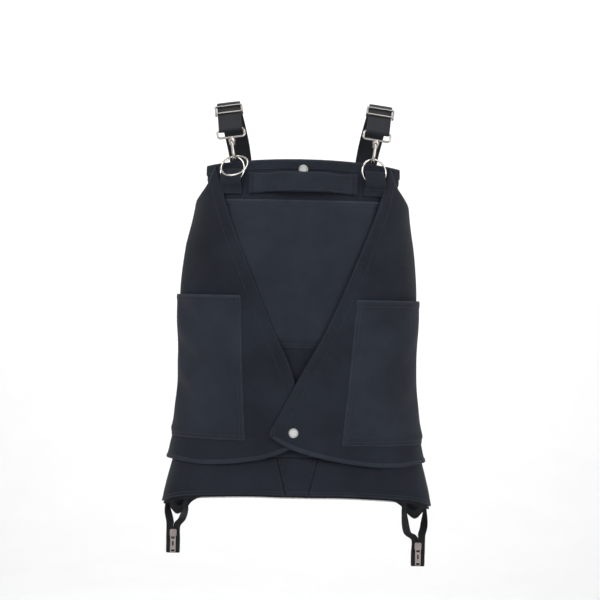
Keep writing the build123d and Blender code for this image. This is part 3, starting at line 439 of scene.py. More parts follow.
def cloth(name, node, edges, grow, shape=None, thickness=1.2, step=CLOTH_STEP, material=CANVAS, waviness=0.6,
          seed=1, hem=10.0, body="vest"):
    """One cut piece of cloth on the tube. edges are (kind, line) pairs that run anticlockwise round it."""
    loop, kinds = [], {}
    for kind, line in edges:
        even = resample(line, step * 0.8)
        kinds.setdefault(kind, []).append(even)
        loop.extend(even[:-1])
    loop = np.array(loop)
    keep = np.linalg.norm(loop - np.roll(loop, 1, axis=0), axis=1) > 0.4
    loop = loop[keep]
    low, high = loop.min(0), loop.max(0)
    rows = np.arange(low[1], high[1], step * 0.866)
    inner = []
    for k, z in enumerate(rows):
        across = np.arange(low[0] + (k % 2) * step / 2, high[0], step)
        inner.append(np.stack([across, np.full(len(across), z)], -1))
    inner = np.vstack(inner)
    inner = inner[inside_loop(inner, loop)]
    closed = np.vstack([loop, loop[:1]])
    inner = inner[line_distance(inner, closed) > 0.5 * step]
    corners = [Vector(p) for p in np.vstack([loop, inner])]
    ring = [(i, (i + 1) % len(loop)) for i in range(len(loop))]
    made = geometry.delaunay_2d_cdt(corners, ring, [], 1, 1e-5)
    at = np.array([tuple(v) for v in made[0]])
    faces = [f for f in made[2] if len(f) == 3]
    away = {}
    for kind, lines in kinds.items():
        away[kind] = np.min([line_distance(at, line) for line in lines], axis=0)
    far = np.full(len(at), 1e6)
    seam, folded = away.get("seam", far), away.get("hem", far)
    free = np.minimum(away.get("free", far), away.get("sewn", far))
    u, z = at[:, 0] / QUARTER, at[:, 1]
    lift = -0.7 * np.exp(-(seam / 1.8) ** 2) + 0.45 * np.exp(-((seam - 5.5) / 3.0) ** 2)
    lift += 0.7 * smooth((hem - folded) / 2.5) - 0.5 * np.exp(-((folded - hem + 1.6) / 1.1) ** 2)
    lift -= 0.5 * np.exp(-(np.minimum(folded, free) / 1.2) ** 2)
    pucker = np.exp(-np.minimum(seam, folded) / 9.0)
    lift += waves(u, z, seed + 40, 7.0, 0.55) * pucker
    lift += waves(u, z, seed, 75.0, waviness, 2.2) + waves(u, z, seed + 9, 26.0, waviness * 0.28, 1.6)
    if shape is not None:
        lift = lift + shape(at[:, 0], z, away)
    points = place(u, z, grow, lift)
    # Paler near the folded and free edges: partly rubbed cloth, partly a painted highlight.
    wear_and_edge_highlight = np.exp(-np.minimum(folded, free) / 1.6)
    obj = mesh_object(name, points, faces, material, uv=at * MM, wear_and_edge_highlight=wear_and_edge_highlight)
    solid = obj.modifiers.new("thickness", "SOLIDIFY")
    solid.thickness = thickness * MM
    solid.offset = -1.0
    tri = place(u, z, grow)[np.array(faces)]
    area = 0.5 * np.linalg.norm(np.cross(tri[:, 1] - tri[:, 0], tri[:, 2] - tri[:, 0]), axis=1).sum()
    PIECES[name] = {"obj": obj, "loop": loop, "grow": grow, "area": float(area), "tree": tree_of(points, faces),
                    "body": body, "edges": edges}
    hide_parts(node)


def tree_of(points, faces):
    """Search tree of a mesh, for finding places on its surface."""
    return BVHTree.FromPolygons([Vector(p) for p in points], [tuple(f) for f in faces])


STITCH_PITCH, STITCH_LENGTH = 3.4, 2.6


def inset(line, amount):
    """Line moved to its left by amount, which is inwards for an anticlockwise edge."""
    line = resample(line, LINE_STEP)
    along = np.gradient(line, axis=0)
    along /= np.linalg.norm(along, axis=1)[:, None] + 1e-9
    return line + np.stack([-along[:, 1], along[:, 0]], -1) * amount


def stitch(piece, line):
    """Row of stitches along a cloth line, lying on the piece."""
    data = PIECES[piece]
    store = threads.setdefault(data["body"], [])
    spots = resample(line, STITCH_PITCH)
    closed = np.vstack([data["loop"], data["loop"][:1]])
    keep = inside_loop(spots, data["loop"]) & (line_distance(spots, closed) > 0.8)
    way = np.gradient(spots, axis=0)
    way /= np.linalg.norm(way, axis=1)[:, None] + 1e-9
    gx, gy = data["grow"]
    tips = []
    for sign in (-0.5, 0.5):
        at = spots + way * STITCH_LENGTH * sign
        tips.append([place(at[:, 0] / QUARTER, at[:, 1], (gx + reach, gy + reach)) for reach in (14, -14)])
    for i in np.nonzero(keep)[0]:
        hits = []
        for start, end in tips:
            origin, target = Vector(start[i]), Vector(end[i])
            spot, normal, _, _ = data["tree"].ray_cast(origin, (target - origin).normalized())
            if spot is None:
                break
            hits.append((spot, normal if normal.dot(origin - target) > 0 else -normal))
        if len(hits) == 2 and (hits[0][0] - hits[1][0]).length < 2.2 * STITCH_LENGTH * MM:
            store.append((hits[0][0], hits[1][0], (hits[0][1] + hits[1][1]).normalized(), 0.32))


def sew(piece, kind, *offsets):
    """Rows of stitches at distances in from all edges of a kind."""
    for line in [line for edge, line in PIECES[piece]["edges"] if edge == kind]:
        for offset in offsets:
            stitch(piece, inset(line, offset))


def thread_mesh(name, stitches):
    """All stitches of a group as one mesh of small rounded threads."""
    sides = 5
    points, faces, uv = [], [], []
    for start, end, up, thick in stitches:
        way = end - start
        size = way.length
        way.normalize()
        side = way.cross(up).normalized()
        base = len(points)
        radius = thick * MM
        rings = ((0.0, 0.35, -0.1), (0.22, 1.0, 0.32), (0.78, 1.0, 0.32), (1.0, 0.35, -0.1))
        for t, share, height in rings:
            middle = start + way * size * t + up * height * radius
            for k in range(sides):
                angle = 2 * math.pi * k / sides
                points.append(middle + (side * math.cos(angle) + up * math.sin(angle)) * radius * share)
                uv.append((k * 0.0002, t * size))
        for r in range(len(rings) - 1):
            for k in range(sides):
                a = base + r * sides + k
                b = base + r * sides + (k + 1) % sides
                faces.append((a, b, b + sides, a + sides))
        faces.append(tuple(base + k for k in reversed(range(sides))))
        last = base + (len(rings) - 1) * sides
        faces.append(tuple(last + k for k in range(sides)))
    return mesh_object(name, points, faces, THREAD, uv=uv)


def mirrored(edges):
    """The same edges on the other side, still anticlockwise."""
    return [(kind, (line * [-1, 1])[::-1]) for kind, line in reversed(edges)]


SIDES = {"right": 1, "left": -1}
TURNED = {"right": list, "left": mirrored}


def upright(u, low, high):
    """Cloth line straight up the tube at one place round it."""
    return np.array([(u * QUARTER, low), (u * QUARTER, high)])


def bow(half_width, middle, corner, count=24):
    """Bowed top edge in the front view, from the left to the right."""
    x = np.linspace(-half_width, half_width, count)
    return np.stack([x, middle + (corner - middle) * (x / half_width) ** 2], -1)


# ---------------------------------------------------------------- front, sides, skirt and back
ARMHOLE_FRONT = curve_through([(150, -142), (162, -150), (170, -161), (173.2, -178)])
ARMHOLE_BACK = curve_through([(150, -130), (164, -152), (171, -164), (173.2, -178)])
SIDE_FOOT = -656.0
FRONT_HEM_RIGHT = curve_through([(18, -632), (87, -632), (165, -637), (200, -644), (222, SIDE_FOOT)])
BACK_HEM_RIGHT = curve_through([(222, SIDE_FOOT), (215, -671), (205, -684), (193, -678), (180, -664), (150, -655),
                                (60, -651), (0, -651)])

bib_edges = [
    ("seam", flat([(-150, -572), (150, -572)])),
    ("seam", flat([(150, -572), (150, -142)])),
    ("free", flat([(150, -142), (157, -130), (157, -104)])),
    ("under", flat(bow(157, -93, -104)[::-1])),
    ("free", flat([(-157, -104), (-157, -130), (-150, -142)])),
    ("seam", flat([(-150, -142), (-150, -572)])),
]


def bib_shape(s, z, away):
    """Drag lines from the top corners."""
    return np.exp(-((z + 140) / 45) ** 2) * np.sin((np.abs(s) - 150) / 9.0) * 0.35


cloth("bib", "bib_panel", bib_edges, BODY_FACE, shape=bib_shape, seed=1)

side_edges = [
    ("seam", np.vstack([flat([(150, -572), (195, -572)]), upright(1, -572, -572)[:1]])),
    ("seam", upright(1, -572, -178)),
    ("hem", flat(ARMHOLE_FRONT[::-1])),
    ("seam", flat([(150, -142), (150, -572)])),
]
hem_foot = np.array([(QUARTER, SIDE_FOOT)])
skirt_edges = [
    ("hem", np.vstack([flat(FRONT_HEM_RIGHT)[:-1], hem_foot])),
    ("seam", upright(1, SIDE_FOOT, -572)),
    ("seam", np.vstack([upright(1, -572, -572)[:1], flat([(195, -572), (33, -572)])])),
    ("seam", flat([(33, -572), (18, -632)])),
]


def skirt_shape(s, z, away):
    """The skirt flares in soft folds towards the hem and drops at its corners."""
    low = smooth((-z - 575) / 70)
    return low * (1.7 * np.sin(np.abs(s) / 15.0 + 0.6) * smooth((np.abs(s) - 90) / 60) + 0.9)


for k, (side, turn) in enumerate(TURNED.items()):
    cloth(f"side_{side}", f"side_panel_{side}", turn(side_edges), BODY_FACE, seed=3 + k, waviness=0.9)
    cloth(f"skirt_{side}", f"skirt_side_{side}", turn(skirt_edges), BODY_FACE, shape=skirt_shape, seed=5 + k,
          waviness=0.9, hem=8.0)

centre_edges = [
    ("hem", flat([(-18, -632), (18, -632)])),
    ("seam", flat([(18, -632), (33, -572)])),
    ("seam", flat([(33, -572), (-33, -572)])),
    ("seam", flat([(-33, -572), (-18, -632)])),
]
cloth("skirt_centre", "skirt_centre_panel", centre_edges, BODY_FACE, seed=8, hem=8.0)


def other_side(line):
    """Line on the back, mirrored about its middle."""
    return np.stack([4 * QUARTER - line[:, 0], line[:, 1]], -1)


BACK_TOP = [(150, -104), (100, -99), (50, -96), (0, -95)]
back_hem = np.vstack([hem_foot, flat_back(BACK_HEM_RIGHT)[1:]])
back_arm = np.vstack([flat_back([(150, -104), (150, -130)]), flat_back(ARMHOLE_BACK)[1:-1], [(QUARTER, -178)]])
back_edges = [
    ("hem", np.vstack([back_hem, other_side(back_hem[::-1])[1:]])),
    ("seam", upright(3, SIDE_FOOT, -178)),
    ("hem", other_side(back_arm[::-1])),
    ("under", np.vstack([other_side(flat_back(BACK_TOP)), flat_back(BACK_TOP[::-1])[1:]])),
    ("hem", back_arm),
    ("seam", upright(1, -178, SIDE_FOOT)),
]


def back_shape(s, z, away):
    """Loose upright folds low on the back and a shallow hollow between the shoulders."""
    across = s / QUARTER - 2
    low = smooth((-z - 380) / 220)
    folds = 2.2 * np.sin(across * 9.5 + 0.8) + 1.2 * np.sin(across * 21 - z / 160)
    hollow = -2.0 * np.exp(-(across / 0.45) ** 2 - ((z + 250) / 120) ** 2)
    return low * folds * (1 - np.abs(across) ** 4) - 0.4 * low + hollow


cloth("back", "back_panel", back_edges, BODY_FACE, shape=back_shape, seed=11, waviness=1.1, step=CLOTH_STEP + 0.7)


BAND_HEIGHT = 17


def band(name, node, top, to_cloth, seed):
    """Folded band along a top edge."""
    low = top - [0, BAND_HEIGHT]
    edges = [("free", to_cloth(low)), ("under", to_cloth([low[-1], top[-1]])),
             ("free", to_cloth(top[::-1])), ("under", to_cloth([top[0], low[0]]))]
    cloth(name, node, edges, BAND_FACE, thickness=0.9, seed=seed, waviness=0.3, step=3.4)


band("bib_band", "front_hem_band", bow(157, -93, -104), flat, 13)
band("back_band", "back_hem_band", bow(150, -95, -104)[::-1], flat_back, 14)

# ---------------------------------------------------------------- chest pocket
chest_edges = [
    ("sewn", flat([(-125, -398), (125, -398)])),
    ("sewn", flat([(125, -398), (125, -160)])),
    ("hem", flat([(125, -160), (-125, -160)])),
    ("sewn", flat([(-125, -160), (-125, -398)])),
]


def chest_shape(s, z, away):
    """Slightly full pouch with its sides and foot sewn down and its mouth standing off the bib."""
    full = 4.3 * smooth((away["sewn"] - 2.0) / 15.0)
    return full + 0.4 * smooth((30 - away["hem"]) / 25)


cloth("chest_pouch", "chest_pocket", chest_edges, CHEST_FACE, shape=chest_shape, seed=17, material=POCKET_CANVAS,
      hem=9.0)

# ---------------------------------------------------------------- wrap flaps
PEAK = (145, -104)
FLAP_TOP, FLAP_FOOT = -168, -582    # where the side seam of a flap ends
PATCH_SIDE = 0.93                   # outer edge of the patch pockets, round the tube
ARM_EDGE = curve_through([(176.6, FLAP_TOP), (175, -162), (168, -149), (157, -132), PEAK])


def flap_edges(tip, crossing):
    """Edges of the right hand flap with the given tip."""
    low = (tip[0] + 5, tip[1] - 19)
    share = (240 - low[0]) / 240
    tip_curve = [tip, (tip[0] - 3, tip[1] - 11), low]
    foot = curve_through(tip_curve + [(low[0] + 34 * share, low[1] - 18), (72, -578), (150, -586), (209, FLAP_FOOT)])
    inner = curve_through([PEAK, (104, -218), (45, -360), crossing, tip])
    return foot, [
        ("free", np.vstack([flat(foot, 5)[:-1], [(QUARTER, FLAP_FOOT)]])),
        ("side", upright(1, FLAP_FOOT, FLAP_TOP)),
        ("free", np.vstack([[(QUARTER, FLAP_TOP)], flat(ARM_EDGE, 5)[1:]])),
        ("fold", flat(inner, 5)),
    ]


NO_FOLD = {"fold": 1e5}


def flap_shape(settle, fullness):
    """Lift of a flap: it hugs the vest at the peak, the side seam and the foot."""
    def shape(s, z, away):
        s = np.abs(s)
        down = -settle * smooth((z + 172) / 40)
        down -= settle * 0.62 * smooth((-z - 470) / 100) * smooth((s - 35) / 50)
        down -= 2.3 * smooth((s - (QUARTER - 26)) / 24)
        fold = away["fold"]
        down += 0.55 * smooth((20 - fold) / 2.0) - 0.35 * np.exp(-((fold - 18.6) / 1.1) ** 2)
        down -= 0.6 * np.exp(-(fold / 1.2) ** 2)
        ripple = 1.3 * np.sin((z + 0.7 * s) / 34.0) * smooth((fold - 12) / 60)
        ripple += 0.9 * np.sin((0.35 * z - s) / 13.0) * smooth((-z - 430) / 90) * smooth((fold - 20) / 60)
        flank = np.exp(-(((s / QUARTER) - 0.9) / 0.13) ** 2) * smooth((1 - s / QUARTER) / 0.07)
        full = np.interp(-z, (170, 230, 300, 420, 520, 590), fullness)
        return down + ripple + full * flank
    return shape


# Growth off the tube, tip, crossing with the other flap, settling with the flank's fullness at six levels, and the
# patch pocket: its inner X at the top and at the foot, its top and its foot.
FLAPS = {
    "right": (RIGHT_FLAP, (-42, -525), (-5, -454), (5.0, (0, 2, 3, 4, 5, 6)), (90, 71, -318, -552)),
    "left": (LEFT_FLAP, (-12, -528), (11, -436), (2.8, (2, 9, 11, 12, 10, 9)), (96, 85, -314, -546)),
}
foot_lines = {}
for k, (side, (grow, tip, crossing, settle, pocket)) in enumerate(FLAPS.items()):
    turn = TURNED[side]
    foot_lines[side], edges = flap_edges(tip, crossing)
    body = f"flap_{side}"
    cloth(f"{body}_cloth", body, turn(edges), grow, shape=flap_shape(*settle), seed=21 + 3 * k, waviness=0.8,
          body=body)
    top_x, low_x, top, low = pocket
    patch = [
        ("sewn", np.vstack([flat([(low_x, low), (170, low)], 6), [(PATCH_SIDE * QUARTER, low)]])),
        ("sewn", upright(PATCH_SIDE, low, top)),
        ("hem", np.vstack([[(PATCH_SIDE * QUARTER, top)], flat([(160, top), (top_x, top)], 6)])),
        ("sewn", flat([(top_x, top), (low_x, low)], 6)),
    ]

    def pouch_shape(s, z, away, settle=settle, side=side):
        """The patch follows its flap and stands off it, fullest low down, with drag folds towards the side."""
        under = flap_shape(*settle)(s, z, NO_FOLD)
        s = np.abs(s)
        near = away["sewn"]
        full = 5.2 * smooth((near - 2.0) / 13.0)
        full *= 0.8 + 0.2 * smooth((top - z) / 120)
        sag = 0.9 * np.sin((z - top) / 30.0 + s / 55.0) * smooth((near - 8) / 30)
        drag = (s - 150.0) * 0.6 - (z - top)
        crease = 2.3 * np.sin(drag / 11.0) * np.exp(-((s - 195) / 42.0) ** 2) * smooth((near - 6) / 26)
        return under + full + sag + (crease if side == "left" else 0.45 * crease)

    cloth(f"{body}_pouch", f"flap_pocket_{side}", turn(patch), [size + POUCH_OFF_FLAP for size in grow],
          shape=pouch_shape, seed=31 + 3 * k, waviness=0.7, material=POCKET_CANVAS, hem=12.0, body=body)


# ---------------------------------------------------------------- ribbons: straps, tabs, tapes, bindings
def ribbon(name, path, across, width, thickness, material, nodes=(), body="vest", round_share=5.0, sides=28,
           crown=0.0):
    """Flat closed band along a path (metres) with its width along the across directions."""
    path, across = np.array(path, float), np.array(across, float)
    if across.ndim == 1:
        across = np.repeat(across[None], len(path), 0)
    along = np.gradient(path, axis=0)
    along /= np.linalg.norm(along, axis=1)[:, None]
    across = across - along * (across * along).sum(1)[:, None]
    across /= np.linalg.norm(across, axis=1)[:, None]
    up = np.cross(across, along)
    width = np.broadcast_to(width, len(path)) * MM
    thickness = np.broadcast_to(thickness, len(path)) * MM
    angle = np.linspace(0, 2 * math.pi, sides, endpoint=False)
    c, s = np.cos(angle), np.sin(angle)
    px = np.sign(c) * np.abs(c) ** (2 / round_share) / 2
    py = np.sign(s) * np.abs(s) ** (2 / 2.6) / 2
    crowned = crown * MM * (1 - (2 * px) ** 2)
    rings = (path[:, None] + across[:, None] * (px[None, :, None] * width[:, None, None])
             + up[:, None] * (py[None, :, None] * thickness[:, None, None] + crowned[None, :, None]))
    count = len(path)
    faces = []
    for r in range(count - 1):
        for k in range(sides):
            a, b = r * sides + k, r * sides + (k + 1) % sides
            faces.append((a, a + sides, b + sides, b))
    faces.append(tuple(range(sides)))
    faces.append(tuple((count - 1) * sides + k for k in reversed(range(sides))))
    run = np.concatenate([[0], np.cumsum(np.linalg.norm(np.diff(path, axis=0), axis=1))])
    uv = np.stack([np.broadcast_to(px[None] * width[:, None], (count, sides)),
                   np.broadcast_to(run[:, None], (count, sides))], -1).reshape(-1, 2)
    # Paler along the long edges of the band: partly rubbed cloth, partly a painted highlight.
    wear_and_edge_highlight = np.broadcast_to(smooth((np.abs(px) - 0.455) / 0.045)[None], (count, sides)).ravel() * 0.6
    obj = mesh_object(name, rings.reshape(-1, 3), faces, material, uv=uv, wear_and_edge_highlight=wear_and_edge_highlight)
    bm = bmesh.new()
    bm.from_mesh(obj.data)
    bmesh.ops.recalc_face_normals(bm, faces=bm.faces)
    bm.to_mesh(obj.data)
    bm.free()
    if nodes:
        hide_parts(*nodes)
    PIECES[name] = {"obj": obj, "body": body}
    return obj


# Bindings folded over the feet of the flaps.
for side, sign in SIDES.items():
    grow, settle = FLAPS[side][0], FLAPS[side][3]
    line = flat(foot_lines[side], 5)
    line[-1] = (QUARTER, FLAP_FOOT)
    line = resample(line, 4.0)[5:]
    s, z = line[:, 0], line[:, 1] + 3.4
    lift = flap_shape(*settle)(s, z, NO_FOLD) - 0.55
    path = place(s / QUARTER, z, grow, lift)
    way = place(s / QUARTER, z + 1.0, grow, lift) - path
    taper = smooth((np.arange(len(path)) + 1.5) / 4.0)
    ribbon(f"flap_{side}_binding", path * [sign, 1, 1], way * [sign, 1, 1], 7.0 * (0.3 + 0.7 * taper), 2.9, BINDING,
           nodes=[f"flap_binding_{side}"], body=f"flap_{side}", round_share=3.0)

# ---------------------------------------------------------------- ring tabs, from the CAD frame of the rings
RING_CENTRE = np.array((114.055, -90.614, -110.974))
RING_TOP = np.array((112.589, -86.717, -90.902))
TAB_OUT = np.array((0.3449, -0.9164, 0.2031))
TAB_UP = np.array((-0.0715, 0.1901, 0.9792))
TAB_LEVEL = np.array((0.9359, 0.3522, 0.0))
RING_STANDOFF = 7.0
TAB_ORIGIN = RING_CENTRE - TAB_UP * 19.0 - TAB_OUT * RING_STANDOFF

# Side view of a tab: up its foot, round over the ring and down again, as (up, out) from its origin.
tab_line = [(-21, 0.95), (-15, 0.95), (-8, 1.1), (-2, 1.9), (6, 2.5), (13, 2.65)]
for k in range(1, 9):
    angle = math.pi * k / 8
    tab_line.append((14.0 + 4.35 * math.sin(angle), 7.0 - 4.35 * math.cos(angle)))
tab_line += [(8, 11.4), (2, 11.2), (-4, 10.3), (-8, 7.2), (-11.5, 3.8), (-15, 2.5), (-21, 2.4)]
tab_line = curve_through(tab_line, 4)
for side, sign in SIDES.items():
    path = (TAB_ORIGIN + tab_line[:, :1] * TAB_UP + tab_line[:, 1:] * TAB_OUT) * MM
    ribbon(f"ring_tab_{side}_cloth", path * [sign, 1, 1], TAB_LEVEL * [sign, 1, 1], 35.6, 1.3, CANVAS,
           nodes=[f"ring_tab_{side}"], round_share=9.0, sides=44)

# ---------------------------------------------------------------- straps
TILT = math.radians(8)
STRAP_UP = np.array((math.sin(TILT), 0, math.cos(TILT)))
STRAP_ACROSS = np.array((math.cos(TILT), 0, -math.sin(TILT)))
SLOPE = math.radians(50)
RUN_WAY = np.array((math.sin(SLOPE), math.cos(SLOPE)))
RUN_OUT = np.array((-math.cos(SLOPE), math.sin(SLOPE)))
PLY = 3.05
RING_SHIFT = {"right": 0.0, "left": 1.95}
EYE_BAR_RISE = 43.8     # from the top of the tab ring's wire to the eye's bar


def from_side(side, line):
    """Points in millimetres of a side view line, given as (back, up) from the eye's bar."""
    origin = RING_TOP + np.array((0, -RING_SHIFT[side], 0)) + STRAP_UP * EYE_BAR_RISE
    return origin + line[:, :1] * np.array((0, 1, 0)) + line[:, 1:] * STRAP_UP


def strap_line():
    """Middle of the webbing seen from the side: back and up from the eye's bar."""
    line = [RUN_OUT * -PLY + RUN_WAY * t for t in (15, 10, 5)]
    for k in range(9):
        angle = math.pi * k / 8
        line.append(RUN_OUT * -PLY * math.cos(angle) - RUN_WAY * PLY * math.sin(angle))
    start = RUN_OUT * PLY
    line += [start + RUN_WAY * t for t in np.arange(5, 62.1, 4)]
    end = start + RUN_WAY * 62
    heading = math.radians(50)     # from upright towards the back
    for radius, turn, steps in ((37, 40, 14), (82, 74, 26)):
        for _ in range(steps):
            part = math.radians(turn) / steps
            chord = 2 * radius * math.sin(part / 2)
            middle = heading + part / 2
            end = end + chord * np.array((math.sin(middle), math.cos(middle)))
            heading += part
            line.append(end)
    way = np.array((math.sin(heading), math.cos(heading)))
    line += [end + way * t for t in (5, 10, 15)]
    return np.array(line)


side_line = strap_line()
BACK_TAB_X = 105.0
BACK_TAB_FACE = (4.4, 4.4)
z_tab = np.linspace(-92, -140, 9)
tab_u = 2 - u_of(BACK_TAB_X, z_tab)
tab = place(tab_u, z_tab, BACK_TAB_FACE) / MM
tab_across = place(tab_u - 0.01, z_tab, BACK_TAB_FACE) / MM - tab
tab_across /= np.linalg.norm(tab_across, axis=1)[:, None]
for side, sign in SIDES.items():
    path = from_side(side, side_line)
    lead = smooth((np.arange(len(path)) - (len(path) - 24)) / 23.0)[:, None]
    goal = tab[0] + np.array((0, -1.5, 8.0))
    path = path + lead * (goal - path[-1])
    across = STRAP_ACROSS * (1 - lead) + tab_across[0] * lead
    bend = curve_through(np.vstack([path[-3:], tab]), 4)[8:]
    path = np.vstack([path[:-1], bend])
    across = np.vstack([across[:-1], np.repeat(tab_across[4][None], len(bend), 0)])
    path = resample(np.hstack([path, across]), 2.6)
    ribbon(f"strap_{side}_webbing", path[:, :3] * MM * [sign, 1, 1], path[:, 3:] * [sign, 1, 1], 38.0, 1.9, WEBBING,
           nodes=[f"strap_{side}", f"strap_back_tab_{side}"], round_share=8.0, sides=44)

# End of the webbing, wrapped round the adjuster's middle bar.
WRAP_RADIUS = 2.15
wrap = [(-14.0, -WRAP_RADIUS), (-7.0, -WRAP_RADIUS)]
for angle in np.radians(np.linspace(-90, 90, 9)):
    wrap.append((WRAP_RADIUS * math.cos(angle), WRAP_RADIUS * math.sin(angle)))
wrap = np.array(wrap + [(-1.5, 2.0)])
end_line = RUN_WAY * (50.0 + wrap[:, :1]) + RUN_OUT * (wrap[:, 1:] - 1.05)
for side, sign in SIDES.items():
    path, across = from_side(side, end_line) * MM * [sign, 1, 1], STRAP_ACROSS * [sign, 1, 1]
    ribbon(f"strap_{side}_end", path, across, 38.0, 0.9, WEBBING, nodes=[f"strap_end_{side}"],
           body=f"adjuster_{side}", round_share=8.0, sides=44)

# ---------------------------------------------------------------- hem zips
ZIP_X, ZIP_Y = 200.5, -45.0
ZIP_SLIDER_Z = {"right": -719.0, "left": -705.0}
INNER_LEG_X = {"right": 174.0, "left": 178.5}
TOOTH_PITCH, TOOTH_SIDES = 1.9, 8
TAPE_WIDTH = 11.2


def coil(name, rows):
    """Small rounded teeth along zip tapes. Each row is a line of places and the way out of the tape."""
    points, faces, uv = [], [], []
    for row, out in rows:
        row = resample(np.hstack([row, np.broadcast_to(out, row.shape)]), TOOTH_PITCH * MM)
        spots, outs = row[:, :3], row[:, 3:]
        way = np.gradient(spots, axis=0)
        way /= np.linalg.norm(way, axis=1)[:, None]
        for at, out_way, along in zip(spots, outs, way):
            out_way = out_way / np.linalg.norm(out_way)
            face = np.cross(out_way, along)
            base = len(points)
            for t, share in ((-0.9, 0.7), (0.2, 1.0), (1.3, 0.75)):
                for k in range(TOOTH_SIDES):
                    angle = 2 * math.pi * k / TOOTH_SIDES
                    points.append(at + out_way * t * MM + (along * 0.62 * math.cos(angle)
                                                           + face * 0.8 * math.sin(angle)) * share * MM)
                    uv.append((k * 0.0003, t * MM))
            for ring in (base, base + TOOTH_SIDES):
                for k in range(TOOTH_SIDES):
                    a, b = ring + k, ring + (k + 1) % TOOTH_SIDES
                    faces.append((a, b, b + TOOTH_SIDES, a + TOOTH_SIDES))
            faces.append(tuple(base + k for k in reversed(range(TOOTH_SIDES))))
            faces.append(tuple(base + 2 * TOOTH_SIDES + k for k in range(TOOTH_SIDES)))
    PIECES[name] = {"obj": mesh_object(name, points, faces, ZIP_TAPE, uv=uv), "body": "vest"}


def turned(start, end, count):
    """Directions that turn evenly from one to the other."""
    t = smooth(np.linspace(0, 1, count))[:, None] ** 1.8
    way = np.array(start, float) * (1 - t) + np.array(end, float) * t
    return way / np.linalg.norm(way, axis=1)[:, None]


END_PROFILE = [    # level below the slider's middle, width and thickness of the end box
    (-9.5, 21.0, 3.4), (-10.6, 22.4, 4.3), (-14, 22.8, 4.6), (-20, 22.6, 4.4), (-26, 22.8, 4.6), (-31, 22.4, 4.3),
    (-32.6, 21.0, 3.2),
]
end_z, end_width, end_thick = np.array(END_PROFILE).T
for side, sign in SIDES.items():
    middle = ZIP_SLIDER_Z[side]
    foot, meet = middle - 12, middle + 12
    x = INNER_LEG_X[side]
    # Each leg: its name, CAD nodes, path from inside the hem, place beside the coil and first facing.
    legs = [
        ("outer", [f"zip_tail_{side}"],
         [(211, -8, -640), (212.5, -20, -658), (211, -34, meet + 21), (207.2, -42.5, meet + 8)], 5.9,
         (0.2, -0.97, 0)),
        ("inner", [],
         [(x, -80, -630), (x, -79, -650), (x + 1, -74, -664), (x + 7, -52, meet + 12)], -5.9, (0.5, -0.85, 0)),
    ]
    rows = []
    for leg, nodes, points, offset, start_way in legs:
        points = points + [(ZIP_X + offset, ZIP_Y, meet), (ZIP_X + offset, ZIP_Y, foot)]
        line = resample(curve_through(points, soft_ends=True), 2.5)
        lead = int(len(line) * 0.72)
        across = np.vstack([turned(start_way, (1, 0, 0), lead), np.repeat([(1.0, 0, 0)], len(line) - lead, 0)])
        path = line * MM * [sign, 1, 1]
        across = across * [sign, 1, 1]
        ribbon(f"zip_{side}_{leg}_tape", path, across, TAPE_WIDTH, 0.95, ZIP_TAPE, nodes=nodes, round_share=7.0)
        towards = -across * math.copysign(1, offset)
        rows.append((path + towards * TAPE_WIDTH / 2 * MM, towards))
    coil(f"zip_{side}_coil", rows)
    path = np.stack([np.full(len(end_z), ZIP_X * sign), np.full(len(end_z), ZIP_Y), end_z + middle], -1) * MM
    ribbon(f"zip_{side}_end", path, (sign, 0, 0), end_width, end_thick, ZIP_TAPE, nodes=[f"zip_end_box_{side}"],
           round_share=6.0)

INSIDE_FACE = (-1.4, -1.4)
front_line = np.vstack([flat(FRONT_HEM_RIGHT * [-1, 1])[::-1], flat(FRONT_HEM_RIGHT)])
back_line = np.vstack([flat_back(BACK_HEM_RIGHT), flat_back(BACK_HEM_RIGHT[::-1] * [-1, 1])])
for name, line in (("front", front_line), ("back", back_line)):
    line = resample(line, 5.0)
    u, z = line[:, 0] / QUARTER, line[:, 1] + 3.5
    path = place(u, z, INSIDE_FACE)
    up = place(u, z + 1.0, INSIDE_FACE) - path
    ribbon(f"zip_tape_{name}_ribbon", path, up, 13.0, 0.9, ZIP_TAPE, nodes=[f"zip_tape_{name}"], round_share=7.0)
    coil(f"zip_tape_{name}_coil", [(place(u, z - 7.0, INSIDE_FACE), -up)])

# ---------------------------------------------------------------- handle
HANDLE_UP = np.array((0, 0.216, 0.976))
HANDLE_OUT = np.array((0, -0.976, 0.216))


def handle_path(extra=0.0):
    """Middle line of the handle across the bib: it bows off the cloth between its ends, raised by extra."""
    x = np.linspace(-87, 87, 90)
    level = np.full(len(x), -133.5)
    height = 2.4 + 12.0 * smooth((74 - np.abs(x)) / 52) + extra
    return place(u_of(x, level), level, BODY_FACE) + HANDLE_OUT * height[:, None] * MM


grip = ribbon("handle_grip", handle_path(), HANDLE_UP, 35.0, 4.2, PAD_CANVAS, round_share=6.0, sides=40, crown=0.5)


